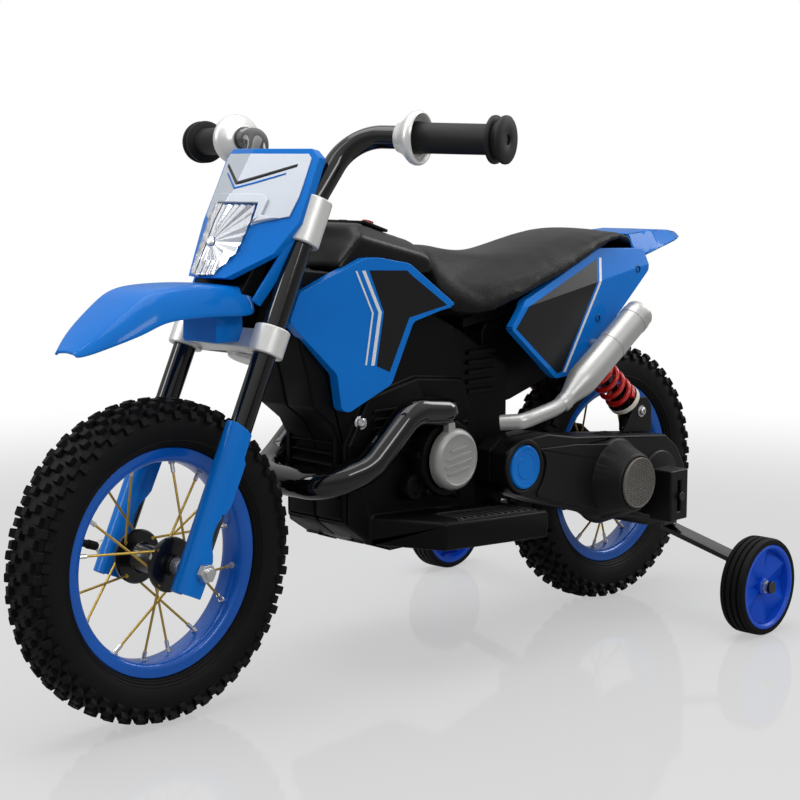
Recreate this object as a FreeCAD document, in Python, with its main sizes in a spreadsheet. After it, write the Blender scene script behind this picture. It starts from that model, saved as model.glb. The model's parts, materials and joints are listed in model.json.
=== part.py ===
# Kids electric motorbike with stabilizer wheels. X points forward, Y left, Z up; the ground is Z = 0.
import FreeCAD
import Part
import Sketcher
import math
import os
import re

Vector = FreeCAD.Vector
Rotation = FreeCAD.Rotation
Placement = FreeCAD.Placement
AHEAD = Vector(1, 0, 0)
ACROSS = Vector(0, 1, 0)
UP = Vector(0, 0, 1)

SIZES = {
    # wheels
    "wheelbase": 674, "tyre_radius": 152.5, "tyre_half_width": 27, "tyre_wall": 4.5,
    "tyre_belly_radius": 128,
    "tread_half_width": 19, "tread_rise": 3, "sidewall_bulge": 17, "shoulder_bulge": 20,
    "bead_half_width": 14.7,
    "bead_mouth": 8, "bead_radius": 97.3, "rim_radius": 107, "rim_bed_radius": 97, "rim_inner_radius": 93,
    "rim_half_width": 17, "rim_flange": 2, "rim_edge_step": 2, "rim_well_half_width": 9,
    "hub_flange_radius": 26, "hub_barrel_radius": 13, "hub_end_radius": 10, "hub_half_length": 32,
    "hub_flange_outer": 27, "hub_flange_inner": 22, "hub_waist": 19, "axle_radius": 5, "spoke_radius": 1.2,
    "spoke_hub_radius": 22, "spoke_offset": 2.4, "spoke_rim_offset": 4, "nipple_radius": 2.2,
    "nipple_length": 14,
    # steering
    "rake_angle": 25, "leg_half_track": 58, "leg_radius": 11, "leg_wall": 2, "leg_tail": 18,
    "stem_offset": 28,
    "stem_radius": 12, "low_clamp_reach": 222, "clamp_spacing": 121, "low_clamp_height": 27,
    "high_clamp_height": 46,
    "clamp_ring_radius": 17, "clamp_bridge_front": 7, "clamp_bridge_rear": 20, "clamp_bridge_height": 20,
    "head_tube_radius": 17, "head_tube_gap": 0.6, "bar_rise": 27, "bar_height": 543.5,
    "bar_bend_setback": 199,
    "bar_bend_radius": 42, "bar_sweep": 46, "bar_half_width": 220, "bar_droop": 4,
    "bar_bend_half_track": 61,
    "collar_half_track": 122, "collar_half_length": 12.5, "collar_radius": 25, "collar_neck_radius": 13,
    "collar_lip": 4, "grip_radius": 14.5, "grip_flange_radius": 22.5, "grip_flange": 5, "grip_groove": 6,
    "grip_end_wall": 3, "grip_hole_radius": 5,
    "guard_radius": 14.5, "guard_wall": 2.8, "guard_skirt": 7, "guard_low": 24, "guard_high": 140,
    "guard_scallop_radius": 30, "guard_scallop_height": 38, "guard_scallop_depth": 10,
    "guard_slant_angle": 22,
    "nut_radius": 9, "nut_height": 7, "axle_tip": 3, "spacer_radius": 8,
    # front fender and mask
    "fender_rear_setback": 92, "fender_tip_lead": 94, "fender_low": 352, "fender_high": 410,
    "fender_half_width": 47, "fender_skirt": 36, "fender_wall": 3, "fender_box_length": 82,
    "fender_box_half_width": 38, "fender_box_low": 358,
    "mask_low": 412.5, "mask_high": 532, "mask_rear_setback": 156, "mask_front_setback": 58,
    "mask_half_width": 66,
    "mask_wall": 3, "mask_boss_radius": 7, "strut_width": 13, "strut_foot_setback": 63,
    "strut_foot_height": 388,
    "strut_foot_track": 48,
    "lamp_skin": 3.2, "reflector_skin": 1,
    # body
    "trunk_rear_reach": 219, "trunk_front_setback": 147, "trunk_low": 124, "trunk_high": 418,
    "trunk_half_width": 40,
    "engine_gap": 2, "engine_front_setback": 209, "engine_high": 300, "engine_half_width": 46,
    "subframe_rear_reach": 37, "subframe_lap": 28, "subframe_low": 250, "subframe_high": 408,
    "subframe_half_width": 28, "neck_half_width": 24, "neck_half_length": 22,
    "bay_rear_wall": 27, "bay_front_wall": 72, "bay_floor": 18, "bay_roof": 88, "bay_side_wall": 3,
    "footrest_low": 124.5, "footrest_thickness": 29, "footrest_rear_reach": 239, "footrest_length": 200,
    "footrest_half_width": 116, "footrest_edge": 4, "footrest_tilt": 3.5,
    "crank_lead": 65, "crank_height": 216, "crank_radius": 30, "crank_half_width": 69, "cap_radius": 32,
    "cap_thickness": 13, "cap_bevel": 5,
    "battery_length": 150, "battery_width": 65, "battery_height": 94, "terminal_radius": 4,
    "terminal_height": 6,
    "cover_rear_setback": 331, "cover_front_setback": 196, "cover_low": 398, "cover_high": 459,
    "cover_half_width": 46, "cover_shoulder_track": 29, "cover_shoulder_setback": 234,
    "cover_fall_angle": 13.5, "cover_shoulder_angle": 38,
    "tank_panel_rear_setback": 338, "tank_panel_front_setback": 132, "tank_panel_low": 275,
    "tank_panel_high": 426,
    "tank_panel_rear_track": 72, "tank_panel_front_track": 45, "panel_wall": 5, "panel_edge": 2.2,
    "side_panel_rear_reach": -9, "side_panel_front_reach": 256, "side_panel_low": 284,
    "side_panel_high": 422,
    "side_panel_rear_track": 60, "side_panel_front_track": 78, "boss_radius": 7,
    "seat_rear_reach": 6, "seat_front_setback": 334, "seat_low": 358, "seat_high": 439,
    "seat_half_width": 75,
    "pan_rear_reach": 12, "pan_front_inset": 45, "pan_low": 346, "pan_high": 420, "pan_half_width": 44,
    "tail_tip_lag": 118, "tail_low": 404, "tail_high": 439, "tail_half_width": 54, "tail_wall": 3,
    "tail_skirt": 30,
    "tongue_half_width": 20, "tongue_height": 10, "tongue_post": 14,
    "exhaust_radius": 17, "exhaust_pipe_radius": 8.5, "exhaust_track": 95, "exhaust_low": 248,
    "exhaust_high": 351,
    "exhaust_rear_reach": 55, "exhaust_front_reach": 255, "exhaust_bend": 26, "exhaust_mouth_radius": 11,
    "exhaust_mouth_depth": 14, "exhaust_cone": 26, "exhaust_stay_radius": 5, "exhaust_stay_reach": 22,
    "header_radius": 15, "header_track": 67, "header_low": 204, "header_high": 274,
    "header_front_setback": 174,
    "header_rear_reach": 336, "header_bend": 40, "header_port_bend": 18,
    # swing arm and drive
    "swing_reach": 245, "pivot_rise": 44.5, "pivot_radius": 6, "pivot_sleeve_radius": 12,
    "pivot_cap_radius": 23.5,
    "pivot_cap_thickness": 4, "arm_rear_lag": 55, "arm_lead": 30, "arm_drop": 52.5,
    "arm_rise": 75.5,
    "arm_inner_track": 40, "arm_split_track": 62, "arm_outer_track": 86, "arm_wall": 3,
    "gear_module": 1.5, "pinion_teeth": 14, "idler_teeth": 30, "wheel_teeth": 44, "gear_width": 10,
    "gear_track": 48, "pressure_angle": 25, "backlash": 0.3, "hub_boss_radius": 14, "idler_pin_radius": 3,
    "motor_reach": 84, "motor_rise": 10.5, "motor_radius": 27, "motor_track": 64, "motor_length": 51,
    "motor_shaft_radius": 2.5, "motor_shaft_depth": 8, "bulge_wall": 5, "bulge_track": 118,
    "bulge_flare": 22,
    "grille_radius": 28.5,
    "grille_thickness": 3, "grille_hole_radius": 1.7, "grille_ring_pitch": 6.5,
    "shock_track": 52, "shock_low_reach": 7, "shock_low_rise": 78, "shock_high_reach": 109,
    "shock_high_rise": 159.5,
    "shock_eye_radius": 9, "shock_eye_half_width": 6, "shock_pin_radius": 4, "shock_tube_radius": 9,
    "shock_tube_length": 74, "shock_rod_radius": 5, "shock_rod_length": 84, "shock_collar_radius": 19,
    "shock_collar": 4, "shock_low_collar_reach": 27, "shock_high_collar_reach": 20, "spring_radius": 15.5,
    "spring_wire_radius": 2.6, "spring_turns": 6, "spring_bend": 7.5, "bracket_wall": 3,
    "bracket_half_length": 15,
    # stabilizers
    "stab_reach": 18, "stab_radius": 54, "stab_outer_track": 250, "stab_width": 30, "stab_hub_radius": 47,
    "stab_web": 6, "stab_boss_radius": 9, "stab_bolt_radius": 4, "stab_bolt_head_radius": 7,
    "stab_bolt_head": 4,
    "stab_groove_depth": 3, "stab_groove_width": 3, "fan_blade_width": 5, "stab_rim": 5,
    "bar_width": 25, "bar_thickness": 6, "bar_inner_track": 110.5, "stab_sleeve_length": 10.1,
    "bar_low": 40,
    "bar_high": 160, "box_wall": 4, "box_low": 112, "box_high": 170, "box_inner_track": 98.2,
    "box_outer_track": 128,
    "plate_thickness": 4, "plate_reach": -16, "slot_width": 6, "slot_low": 122, "slot_high": 158,
    "stud_radius": 2.8,
    "stud_head_radius": 5,
    # controls
    "pedal_length": 64, "pedal_width": 40, "pedal_thickness": 4, "pedal_reach": 58, "pedal_track": 66,
    "pedal_pin_radius": 2, "pedal_tilt": 8, "lug_width": 4, "lug_radius": 4,
    "dash_length": 34, "dash_width": 56, "dash_thickness": 3, "dash_setback": 266, "dash_height": 453.4,
    "dash_tilt": 17,
    "button_radius": 6, "button_height": 9, "button_track": 14, "button_proud": 4, "rocker_length": 17,
    "rocker_width": 12, "rocker_gap": 0.8, "rocker_depth": 5, "rocker_proud": 2.5, "rocker_pin_radius": 1,
    "rocker_pin_reach": 1.6, "control_depth": 9,
    # fits
    "running_clearance": 0.05, "slide_clearance": 0.1, "moving_gap": 0.4, "seat_gap": 0.2, "overrun": 2,
}

# Shares of each piece's own box, written as (forward share, upward share).
trunk_shares = [(0.993, 1), (1, 0.786), (0.955, 0.64), (0.93, 0.534), (0.85, 0.47), (0.81, 0.395),
                (0.81, 0.14),
                (0.71, 0.055), (0.58, 0), (0.075, 0), (0, 0.14), (0, 0.6), (0.25, 0.75), (0.43, 0.844),
                (0.45, 0.939)]
engine_shares = [(1, 0.2), (1, 0.66), (0.85, 0.92), (0.48, 1), (0.1, 0.96), (0, 0.7), (0, 0.02),
                 (0.66, 0.02), (0.88, 0.1)]
subframe_shares = [(1, 0.55), (1, 0.03), (0.77, 0.06), (0.5, 0.16), (0.26, 0.3), (0, 0.86), (0, 1)]
bay_shares = [(0, 0), (0.85, 0), (1, 0.3), (0.97, 0.6), (0.7, 0.95), (0.3, 1), (0, 0.85)]
footrest_shares = [(1, 0.36), (0.8, 1), (0, 1), (0, 0.2), (1, 0.2)]
cover_shares = [(1, 0.36), (0.8, 0.78), (0.72, 1), (0.62, 1), (0.35, 0.82), (0.12, 0.68), (0, 0.4),
                (0, 0.1), (1, 0.05)]
tank_panel_shares = [(1, 0.616), (0.942, 0.801), (0.558, 1), (0.476, 1), (0.291, 0.954), (0.257, 0.921),
                     (0, 0.662),
                     (0.267, 0.563), (0.403, 0.159), (0.66, 0), (0.704, 0.026), (0.728, 0.258)]
tank_boss_shares = [(0.85, 0.62), (0.5, 0.7), (0.58, 0.2)]
side_panel_shares = [(0.902, 0.638), (0.313, 1), (0.004, 0.978), (0, 0.797), (0.54, 0.014), (0.694, 0),
                     (1, 0.435)]
side_boss_shares = [(0.82, 0.42), (0.5, 0.55), (0.3, 0.74)]
pan_shares = [(1, 0), (0.795, 0.11), (0.265, 0.815), (0, 0.86), (0, 1), (0.265, 0.985), (0.512, 0.675),
              (0.795, 0.345),
              (0.97, 0.16), (1, 0.15)]
arm_shares = [(0.988, 0.898), (0.939, 0.984), (0.779, 1), (0.6425, 0.937), (0.1273, 0.8052), (0.061, 0.688),
              (0.012, 0.5), (0, 0.313), (0.042, 0.102), (0.142, 0), (0.224, 0), (0.43, 0.145), (0.758, 0.371),
              (0.933, 0.531), (0.988, 0.625)]
header_shares = [(0, 0.86), (0.38, 0.95), (0.74, 0.22), (1, 0)]
header_track_shares = [1, 1, 0.99, 0.7]
exhaust_shares = [(1, 0), (0.7, 0.1), (0, 1)]
bar_shares = [(0, 1), (0.06, 1), (0.06, 0.546), (0.97, 0.353), (1, 0), (0.94, 0), (0.91, 0.314), (0, 0.508)]
# Fender stations: forward share, crown height share, half width share, skirt share.
fender_shares = [(0, 0.9, 0.92, 0.72), (0.245, 0.98, 1, 0.78), (0.555, 0.97, 1, 0.78),
                 (0.707, 0.74, 0.95, 0.72),
                 (0.87, 0.38, 0.78, 0.39), (1, 0.04, 0.34, 0.1)]
tail_shares = [(0, 0.92, 1, 1), (0.4, 1, 0.93, 0.72), (0.75, 0.95, 0.76, 0.42), (1, 0.85, 0.45, 0.2)]
roof_share = 0.72
# Mask stations: height share, ridge share and edge share of the depth, half width share.
mask_shares = [(1, 0.27, 0, 1), (0.72, 0.49, 0.16, 1.02), (0.42, 0.74, 0.34, 1.04),
               (0.19, 0.88, 0.55, 0.86), (0, 1, 0.9, 0.4)]
lamp_shares = [(0.55, 0.4), (0.42, 0.42), (0.19, 0.36), (0.05, 0.18)]
# Seat stations: forward share, underside share, crown share, half width share, top width share.
seat_shares = [(1, 0.24, 0.96, 0.6, 0.8), (0.89, 0.02, 0.83, 0.86, 0.76), (0.7, 0.19, 0.75, 0.98, 0.72),
               (0.45, 0.49, 0.88, 0.94, 0.74), (0.24, 0.77, 1, 0.84, 0.78), (0, 0.78, 0.96, 0.66, 0.8)]
seat_shoulder_share = 0.7
seat_bulge_share = 0.12
strut_head_shares = (0.45, 0.42)
strut_lean_shares = (0.7, 0.5)
addendum_share = 0.9
dedendum_share = 1.2
guard_arc_share = 1.0001
terminal_share = 1 / 3
groove_shares = (0.25, 0.5, 0.75)

doc = FreeCAD.newDocument("motorbike")
sheet = doc.addObject("Spreadsheet::Sheet", "dims")
for row, (alias, amount) in enumerate(SIZES.items(), 1):
    sheet.set(f"A{row}", alias)
    sheet.set(f"B{row}", str(amount))
    sheet.setAlias(f"B{row}", alias)
doc.recompute()
nodes = []


def bound(text):
    return re.sub(r"[a-z_]+",
                  lambda word: "dims." + word.group() if word.group() in SIZES else word.group(), text)


def val(text):
    return float(sheet.evalExpression(bound(text)))


def point(along, across, height):
    return Vector(val(along), val(across), val(height))


def kept(thing):
    nodes.append(thing)
    return thing


def feature(label, shape):
    made = doc.addObject("Part::Feature", label)
    made.Shape = shape
    return made


def rod(label, radius, length, base, direction=UP, frame=Placement()):
    made = doc.addObject("Part::Cylinder", label)
    made.setExpression("Radius", bound(radius))
    made.setExpression("Height", bound(length))
    made.Placement = frame.multiply(Placement(base, Rotation(UP, direction)))
    return made


def block(label, length, width, height, corner, frame=Placement()):
    made = doc.addObject("Part::Box", label)
    for side, amount in (("Length", length), ("Width", width), ("Height", height)):
        made.setExpression(side, bound(amount))
    made.Placement = frame.multiply(Placement(corner, Rotation()))
    return made


def hexagon(label, radius, length, base, direction):
    made = doc.addObject("Part::Prism", label)
    made.Polygon = 6
    made.setExpression("Circumradius", bound(radius))
    made.setExpression("Height", bound(length))
    made.Placement = Placement(base, Rotation(UP, direction))
    return made


def fuse(label, *pieces):
    made = doc.addObject("Part::MultiFuse", label)
    made.Shapes = list(pieces)
    made.Refine = True
    return made


def compound(label, *pieces):
    made = doc.addObject("Part::Compound", label)
    made.Links = list(pieces)
    return made


def cut(label, base, *tools):
    made = doc.addObject("Part::Cut", label)
    made.Base = base
    made.Tool = tools[0] if len(tools) == 1 else compound(label + "_tools", *tools)
    made.Refine = True
    return made


def mirrored(label, source):
    made = doc.addObject("Part::Mirroring", label)
    made.Source = source
    made.Normal = ACROSS
    return made


def pair(label, source):
    return compound(label, source, mirrored(label + "_right", source))


def body(label, place=Placement()):
    made = doc.addObject("PartDesign::Body", label)
    made.Placement = place
    return made


def plane_of(owner, role):
    return next(item for item in owner.Origin.OriginFeatures if item.Role == role)


def arc_through(start, end, radius):
    # A positive radius bulges to the right of the way from start to end.
    chord = end - start
    half = chord.Length / 2
    sagitta = abs(radius) - math.sqrt(max(radius * radius - half * half, 0))
    aside = Vector(chord.y, -chord.x, 0).normalize() * math.copysign(sagitta, radius)
    return Part.Arc(start, start + chord * 0.5 + aside, end)


def sketch(owner, role, outline):
    # An outline point is (x, y), or (x, y, radius) where an arc leads to the next point.
    made = owner.newObject("Sketcher::SketchObject", owner.Label + "_sketch")
    made.AttachmentSupport = [(plane_of(owner, role), "")]
    made.MapMode = "FlatFace"
    places = [Vector(val(spot[0]), val(spot[1]), 0) for spot in outline]
    arcs = []
    for index, spot in enumerate(outline):
        start, end = places[index], places[(index + 1) % len(places)]
        if len(spot) > 2:
            curve = arc_through(start, end, val(spot[2]))
            circle = curve.toShape().Curve
            made.addGeometry(Part.ArcOfCircle(start, curve.value(curve.parameter(start) * 0.5
                             + curve.parameter(end) * 0.5), end), False)
            turned_left = (end - start).cross(circle.Center - start).z > 0
            arcs.append((index, spot[2], turned_left))
        else:
            made.addGeometry(Part.LineSegment(start, end), False)
    left_turns = {index: turned_left for index, _, turned_left in arcs}
    first = [1 if left_turns.get(index, True) else 2 for index in range(len(outline))]
    last = [3 - end for end in first]
    for index in range(len(outline)):
        following = (index + 1) % len(outline)
        made.addConstraint(Sketcher.Constraint("Coincident", index, last[index], following,
                                               first[following]))
    for index, spot in enumerate(outline):
        for kind, text, amount in (("DistanceX", spot[0], places[index].x),
                                   ("DistanceY", spot[1], places[index].y)):
            number = made.addConstraint(Sketcher.Constraint(kind, -1, 1, index, first[index], amount))
            made.setExpression(f"Constraints[{number}]", bound(text))
    for index, radius, _ in arcs:
        number = made.addConstraint(Sketcher.Constraint("Radius", index, abs(val(radius))))
        made.setExpression(f"Constraints[{number}]", bound(f"abs({radius})"))
    return made


def turned(label, section, place):
    owner = body(label, place)
    outline = sketch(owner, "YZ_Plane", section)
    made = owner.newObject("PartDesign::Revolution", label + "_turn")
    made.Profile = outline
    made.ReferenceAxis = (outline, ["H_Axis"])
    return owner


def padded(label, role, outline, depth, place, edge=None):
    owner = body(label, place)
    made = owner.newObject("PartDesign::Pad", label + "_pad")
    made.Profile = sketch(owner, role, outline)
    made.setExpression("Length", bound(depth))
    made.Reversed = role == "XZ_Plane"
    if edge:
        doc.recompute()
        outer = max(made.Shape.Faces, key=lambda face: face.CenterOfMass.y if role == "XZ_Plane"
                    else face.CenterOfMass.z)
        rims = [number for number, line in enumerate(made.Shape.Edges, 1)
                if any(line.isSame(rim) for rim in outer.Edges)]
        soft = owner.newObject("PartDesign::Fillet", label + "_edge")
        soft.Base = (made, [f"Edge{number}" for number in rims])
        soft.setExpression("Radius", bound(edge))
    return owner


def box_outline(rear, front, low, high, shares):
    return [(f"({rear}) + {along} * (({front}) - ({rear}))", f"({low}) + {rise} * (({high}) - ({low}))")
            for along, rise in shares]


def path_wire(corners, bends):
    # Straight runs between the corners, each inner corner rounded to its bend radius.
    edges = []
    start = corners[0]
    for before, corner, after, bend in zip(corners, corners[1:], corners[2:], bends):
        inward = (before - corner).normalize()
        onward = (after - corner).normalize()
        half = inward.getAngle(onward) / 2
        reach = bend / math.tan(half)
        middle = corner + (inward + onward).normalize() * (bend / math.sin(half) - bend)
        edges.append(Part.makeLine(start, corner + inward * reach))
        edges.append(Part.Arc(corner + inward * reach, middle, corner + onward * reach).toShape())
        start = corner + onward * reach
    edges.append(Part.makeLine(start, corners[-1]))
    return Part.Wire(edges)


def swept(label, wire, radius):
    spine = feature(label + "_path", wire)
    ring = doc.addObject("Part::Circle", label + "_ring")
    ring.setExpression("Radius", bound(radius))
    first = wire.OrderedEdges[0]
    ring.Placement = Placement(first.valueAt(first.FirstParameter),
                               Rotation(UP, first.tangentAt(first.FirstParameter)))
    made = doc.addObject("Part::Sweep", label)
    made.Sections = [ring]
    made.Spine = (spine, [f"Edge{number}" for number in range(1, len(wire.Edges) + 1)])
    made.Solid = True
    return made


def loft(label, wires, ruled):
    return feature(label, Part.makeLoft(wires, True, ruled))


def loop_of(points):
    return Part.makePolygon(points + points[:1])


# Places that several pieces share.
front_axle = point("wheelbase / 2", "0", "tyre_radius")
rear_axle = point("-wheelbase / 2", "0", "tyre_radius")
steer = Placement(front_axle, Rotation(ACROSS, -val("rake_angle")))
pivot = point("-wheelbase / 2 + swing_reach", "0", "tyre_radius + pivot_rise")
motor_axis = point("-wheelbase / 2 + motor_reach", "0", "tyre_radius + motor_rise")
shock_low = point("-wheelbase / 2 + shock_low_reach", "shock_track", "tyre_radius + shock_low_rise")
shock_high = point("-wheelbase / 2 + shock_high_reach", "shock_track", "tyre_radius + shock_high_rise")
high_clamp = "(low_clamp_reach + clamp_spacing)"
engine_rear = "(-wheelbase / 2 + swing_reach + arm_lead + engine_gap)"
pan_rear = "-wheelbase / 2 + pan_rear_reach"
pan_front = "wheelbase / 2 - seat_front_setback - pan_front_inset"
battery_floor = "(trunk_low + bay_floor)"
foot_frame = Placement(point("-wheelbase / 2 + footrest_rear_reach", "0", "footrest_low"),
                       Rotation(ACROSS, -val("footrest_tilt")))


def at_track(place, track):
    return Vector(place.x, val(track), place.z)


def tyre(label, axle):
    half, wall, belly = "tyre_half_width", "tyre_wall", "tyre_belly_radius"
    shoulder = "(tyre_radius - tread_rise)"
    crown = "(tread_half_width * tread_half_width + tread_rise * tread_rise) / (2 * tread_rise)"
    outer = [("bead_half_width", "bead_radius"), ("bead_half_width", "rim_radius + moving_gap",
                                                  "sidewall_bulge"),
             (half, belly, "shoulder_bulge"), ("tread_half_width", shoulder, crown),
             ("-tread_half_width", shoulder, "shoulder_bulge"), (f"-{half}", belly, "sidewall_bulge"),
             ("-bead_half_width", "rim_radius + moving_gap"), ("-bead_half_width", "bead_radius")]
    inner = [("-bead_mouth", "bead_radius"), ("-bead_mouth", f"rim_radius + moving_gap + {wall}"),
             (f"-{half} + {wall}", belly), (f"-tread_half_width + {wall}", f"{shoulder} - {wall}"),
             (f"tread_half_width - {wall}", f"{shoulder} - {wall}"), (f"{half} - {wall}", belly),
             ("bead_mouth", f"rim_radius + moving_gap + {wall}"), ("bead_mouth", "bead_radius")]
    return kept(turned(label, outer + inner, Placement(axle, Rotation())))


def rim(label, axle):
    edge = "rim_inner_radius + rim_edge_step"
    lip = "rim_half_width - rim_flange"
    section = [("-rim_half_width", edge), ("-rim_well_half_width", "rim_inner_radius"),
               ("rim_well_half_width", "rim_inner_radius"), ("rim_half_width", edge),
               ("rim_half_width", "rim_radius"), (lip, "rim_radius"), (lip, "rim_bed_radius"),
               (f"-({lip})", "rim_bed_radius"), (f"-({lip})", "rim_radius"),
               ("-rim_half_width", "rim_radius")]
    return kept(turned(label, section, Placement(axle, Rotation())))


def hub_section(bore, left_end):
    return [("-hub_half_length", bore), ("-hub_half_length", "hub_end_radius"),
            ("-hub_flange_outer", "hub_end_radius"), ("-hub_flange_outer", "hub_flange_radius"),
            ("-hub_flange_inner", "hub_flange_radius"), ("-hub_waist", "hub_barrel_radius"),
            ("hub_waist", "hub_barrel_radius"), ("hub_flange_inner", "hub_flange_radius"),
            ("hub_flange_outer", "hub_flange_radius"), ("hub_flange_outer", left_end[1]), left_end,
            (left_end[0], bore)]


def spokes(label, axle):
    # Sixteen spokes, eight on each flange, each leaning across its neighbour.
    made = []
    count = 16
    spoke_lean = 1.5
    pitch = 2 * math.pi / count
    flange = val("(hub_flange_inner + hub_flange_outer) / 2")
    for number in range(count):
        side = 1 if number < count // 2 else -1
        turn = (number % (count // 2)) * 2 * pitch + (0 if side > 0 else 2 * pitch)
        lean = spoke_lean * pitch * (1 if number % 2 else -1)
        offset = val("spoke_offset") * (1 if number % 2 else -1)
        start = axle + Vector(math.sin(turn) * val("spoke_hub_radius"), side * (flange + offset),
                              math.cos(turn) * val("spoke_hub_radius"))
        reach = val("rim_bed_radius")
        end = axle + Vector(math.sin(turn + lean) * reach, side * val("spoke_rim_offset"),
                            math.cos(turn + lean) * reach)
        way = end - start
        wire = Part.makeCylinder(val("spoke_radius"), way.Length, start, way)
        nipple = Part.makeCylinder(val("nipple_radius"), val("nipple_length"),
                                   end - way.normalize() * val("nipple_length"), way)
        made.append(wire.fuse(nipple).removeSplitter())
    return kept(feature(label, Part.makeCompound(made)))


def gear_solid(teeth, centre, phase, track, width):
    # Involute teeth around the Y axis, thinned by the backlash.
    pitch_radius = val("gear_module") * teeth / 2
    angle = math.radians(val("pressure_angle"))
    base = pitch_radius * math.cos(angle)
    tip = pitch_radius + addendum_share * val("gear_module")
    root = pitch_radius - dedendum_share * val("gear_module")
    half = (math.pi * pitch_radius / teeth - val("backlash")) / (2 * pitch_radius)
    involute = math.tan(angle) - angle
    low = max(base, root)
    flank = []
    for step in range(5):
        radius = low + (tip - low) * step / 4
        spread = math.acos(min(1, base / radius))
        flank.append((radius, half + involute - (math.tan(spread) - spread)))
    points = []
    for tooth in range(teeth):
        middle = phase + 2 * math.pi * tooth / teeth
        stations = [(root, -flank[0][1])] + [(radius, -spread) for radius, spread in flank]
        stations += [(radius, spread) for radius, spread in reversed(flank)] + [(root, flank[0][1])]
        for radius, spread in stations:
            points.append(centre + Vector(radius * math.sin(middle + spread), val(track),
                                          radius * math.cos(middle + spread)))
    return Part.Face(loop_of(points)).extrude(ACROSS * val(width))


def bearing(source, target):
    return math.atan2(target.x - source.x, target.z - source.z)


def wheels_and_axles():
    for name, axle in (("front", front_axle), ("rear", rear_axle)):
        tyre(f"{name}_tyre", axle)
        rim(f"{name}_rim", axle)
        spokes(f"{name}_spokes", axle)
    bore = "axle_radius + running_clearance"
    kept(turned("front_hub", hub_section(bore, ("hub_half_length", "hub_end_radius")),
                Placement(front_axle, Rotation())))
    guard_face = "(leg_half_track + guard_radius + seat_gap)"
    inner_face = "(leg_half_track - guard_radius - seat_gap)"
    tip = f"({guard_face} + nut_height + axle_tip)"
    pieces = [rod("front_axle_rod", "axle_radius", f"2 * {tip}", at_track(front_axle, f"-{tip}"), ACROSS)]
    for side, way in (("left", 1), ("right", -1)):
        facing = ACROSS * way
        start = front_axle + facing * val("hub_half_length + moving_gap")
        pieces.append(rod(f"front_spacer_{side}", "spacer_radius",
                          f"{inner_face} - hub_half_length - moving_gap", start, facing))
        pieces.append(hexagon(f"front_nut_{side}", "nut_radius", "nut_height",
                              front_axle + facing * val(guard_face), facing))
    kept(fuse("front_axle", *pieces))


def drive():
    bore = "axle_radius + running_clearance"
    end = "(gear_track + gear_width + moving_gap)"
    core = turned("rear_hub_core", hub_section(bore, (end, "hub_boss_radius")),
                  Placement(rear_axle, Rotation()))
    reach_wheel = val("gear_module * (wheel_teeth + idler_teeth) / 2")
    reach_pinion = val("gear_module * (pinion_teeth + idler_teeth) / 2")
    span = (motor_axis - rear_axle).Length
    along = (span * span + reach_wheel ** 2 - reach_pinion ** 2) / (2 * span)
    aside = math.sqrt(max(reach_wheel ** 2 - along ** 2, 0))
    ahead = (motor_axis - rear_axle).normalize()
    idler_axis = rear_axle + ahead * along + Vector(-ahead.z, 0, ahead.x) * aside
    counts = {name: int(val(name + "_teeth")) for name in ("pinion", "idler", "wheel")}
    facing = bearing(rear_axle, idler_axis)
    ring = feature("wheel_gear_teeth", gear_solid(counts["wheel"], rear_axle, facing, "gear_track",
                                                  "gear_width"))
    ring_bore = rod("wheel_gear_bore", "hub_barrel_radius", "gear_width + 2 * overrun",
                    at_track(rear_axle, "gear_track - overrun"), ACROSS)
    kept(fuse("rear_hub", core, cut("wheel_gear", ring, ring_bore)))
    idler_phase = facing + math.pi + math.pi / counts["idler"]
    idler = feature("idler_teeth_ring", gear_solid(counts["idler"], idler_axis, idler_phase, "gear_track",
                                                   "gear_width"))
    kept(cut("idler_gear", idler, rod("idler_bore", "idler_pin_radius + running_clearance",
                                      "gear_width + 2 * overrun",
                                      at_track(idler_axis, "gear_track - overrun"), ACROSS)))
    way = bearing(idler_axis, motor_axis)
    pitch = 2 * math.pi / counts["idler"]
    lead = (idler_phase - way) % pitch
    pinion_phase = way + math.pi - lead * counts["idler"] / counts["pinion"] + math.pi / counts["pinion"]
    pinion = feature("pinion_teeth_ring", gear_solid(counts["pinion"], motor_axis, pinion_phase,
                                                     "gear_track",
                                                     "gear_width"))
    shaft = rod("pinion_shaft", "motor_shaft_radius", "motor_track + motor_shaft_depth - gear_track",
                at_track(motor_axis, "gear_track"), ACROSS)
    kept(fuse("motor_pinion", pinion, shaft))
    can = rod("motor_can", "motor_radius", "motor_length", at_track(motor_axis, "motor_track"), ACROSS)
    kept(cut("motor", can, rod("motor_bore", "motor_shaft_radius + running_clearance",
                               "motor_shaft_depth + overrun", at_track(motor_axis, "motor_track"), ACROSS)))
    return idler_axis


def arm_half(label, start, end, open_high):
    # A hollow half of a swing arm between two tracks, open on one side.
    rear, front = "-wheelbase / 2 - arm_rear_lag", "-wheelbase / 2 + swing_reach + arm_lead"
    outline = box_outline(rear, front, "tyre_radius - arm_drop", "tyre_radius + arm_rise", arm_shares)
    full = padded(label + "_full", "XZ_Plane", outline, f"{end} - {start}",
                  Placement(at_track(Vector(), start), Rotation()))
    doc.recompute()
    faces = full.Shape.Faces
    pick = (max if open_high else min)(range(len(faces)), key=lambda index: faces[index].CenterOfMass.y)
    made = doc.addObject("Part::Thickness", label + "_shell")
    made.Faces = (full, [f"Face{pick + 1}"])
    made.setExpression("Value", bound("-arm_wall"))
    made.Join = 2
    sleeve = rod(label + "_sleeve", "pivot_sleeve_radius", f"{end} - {start}", at_track(pivot, start),
                 ACROSS)
    return [made, sleeve]


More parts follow.
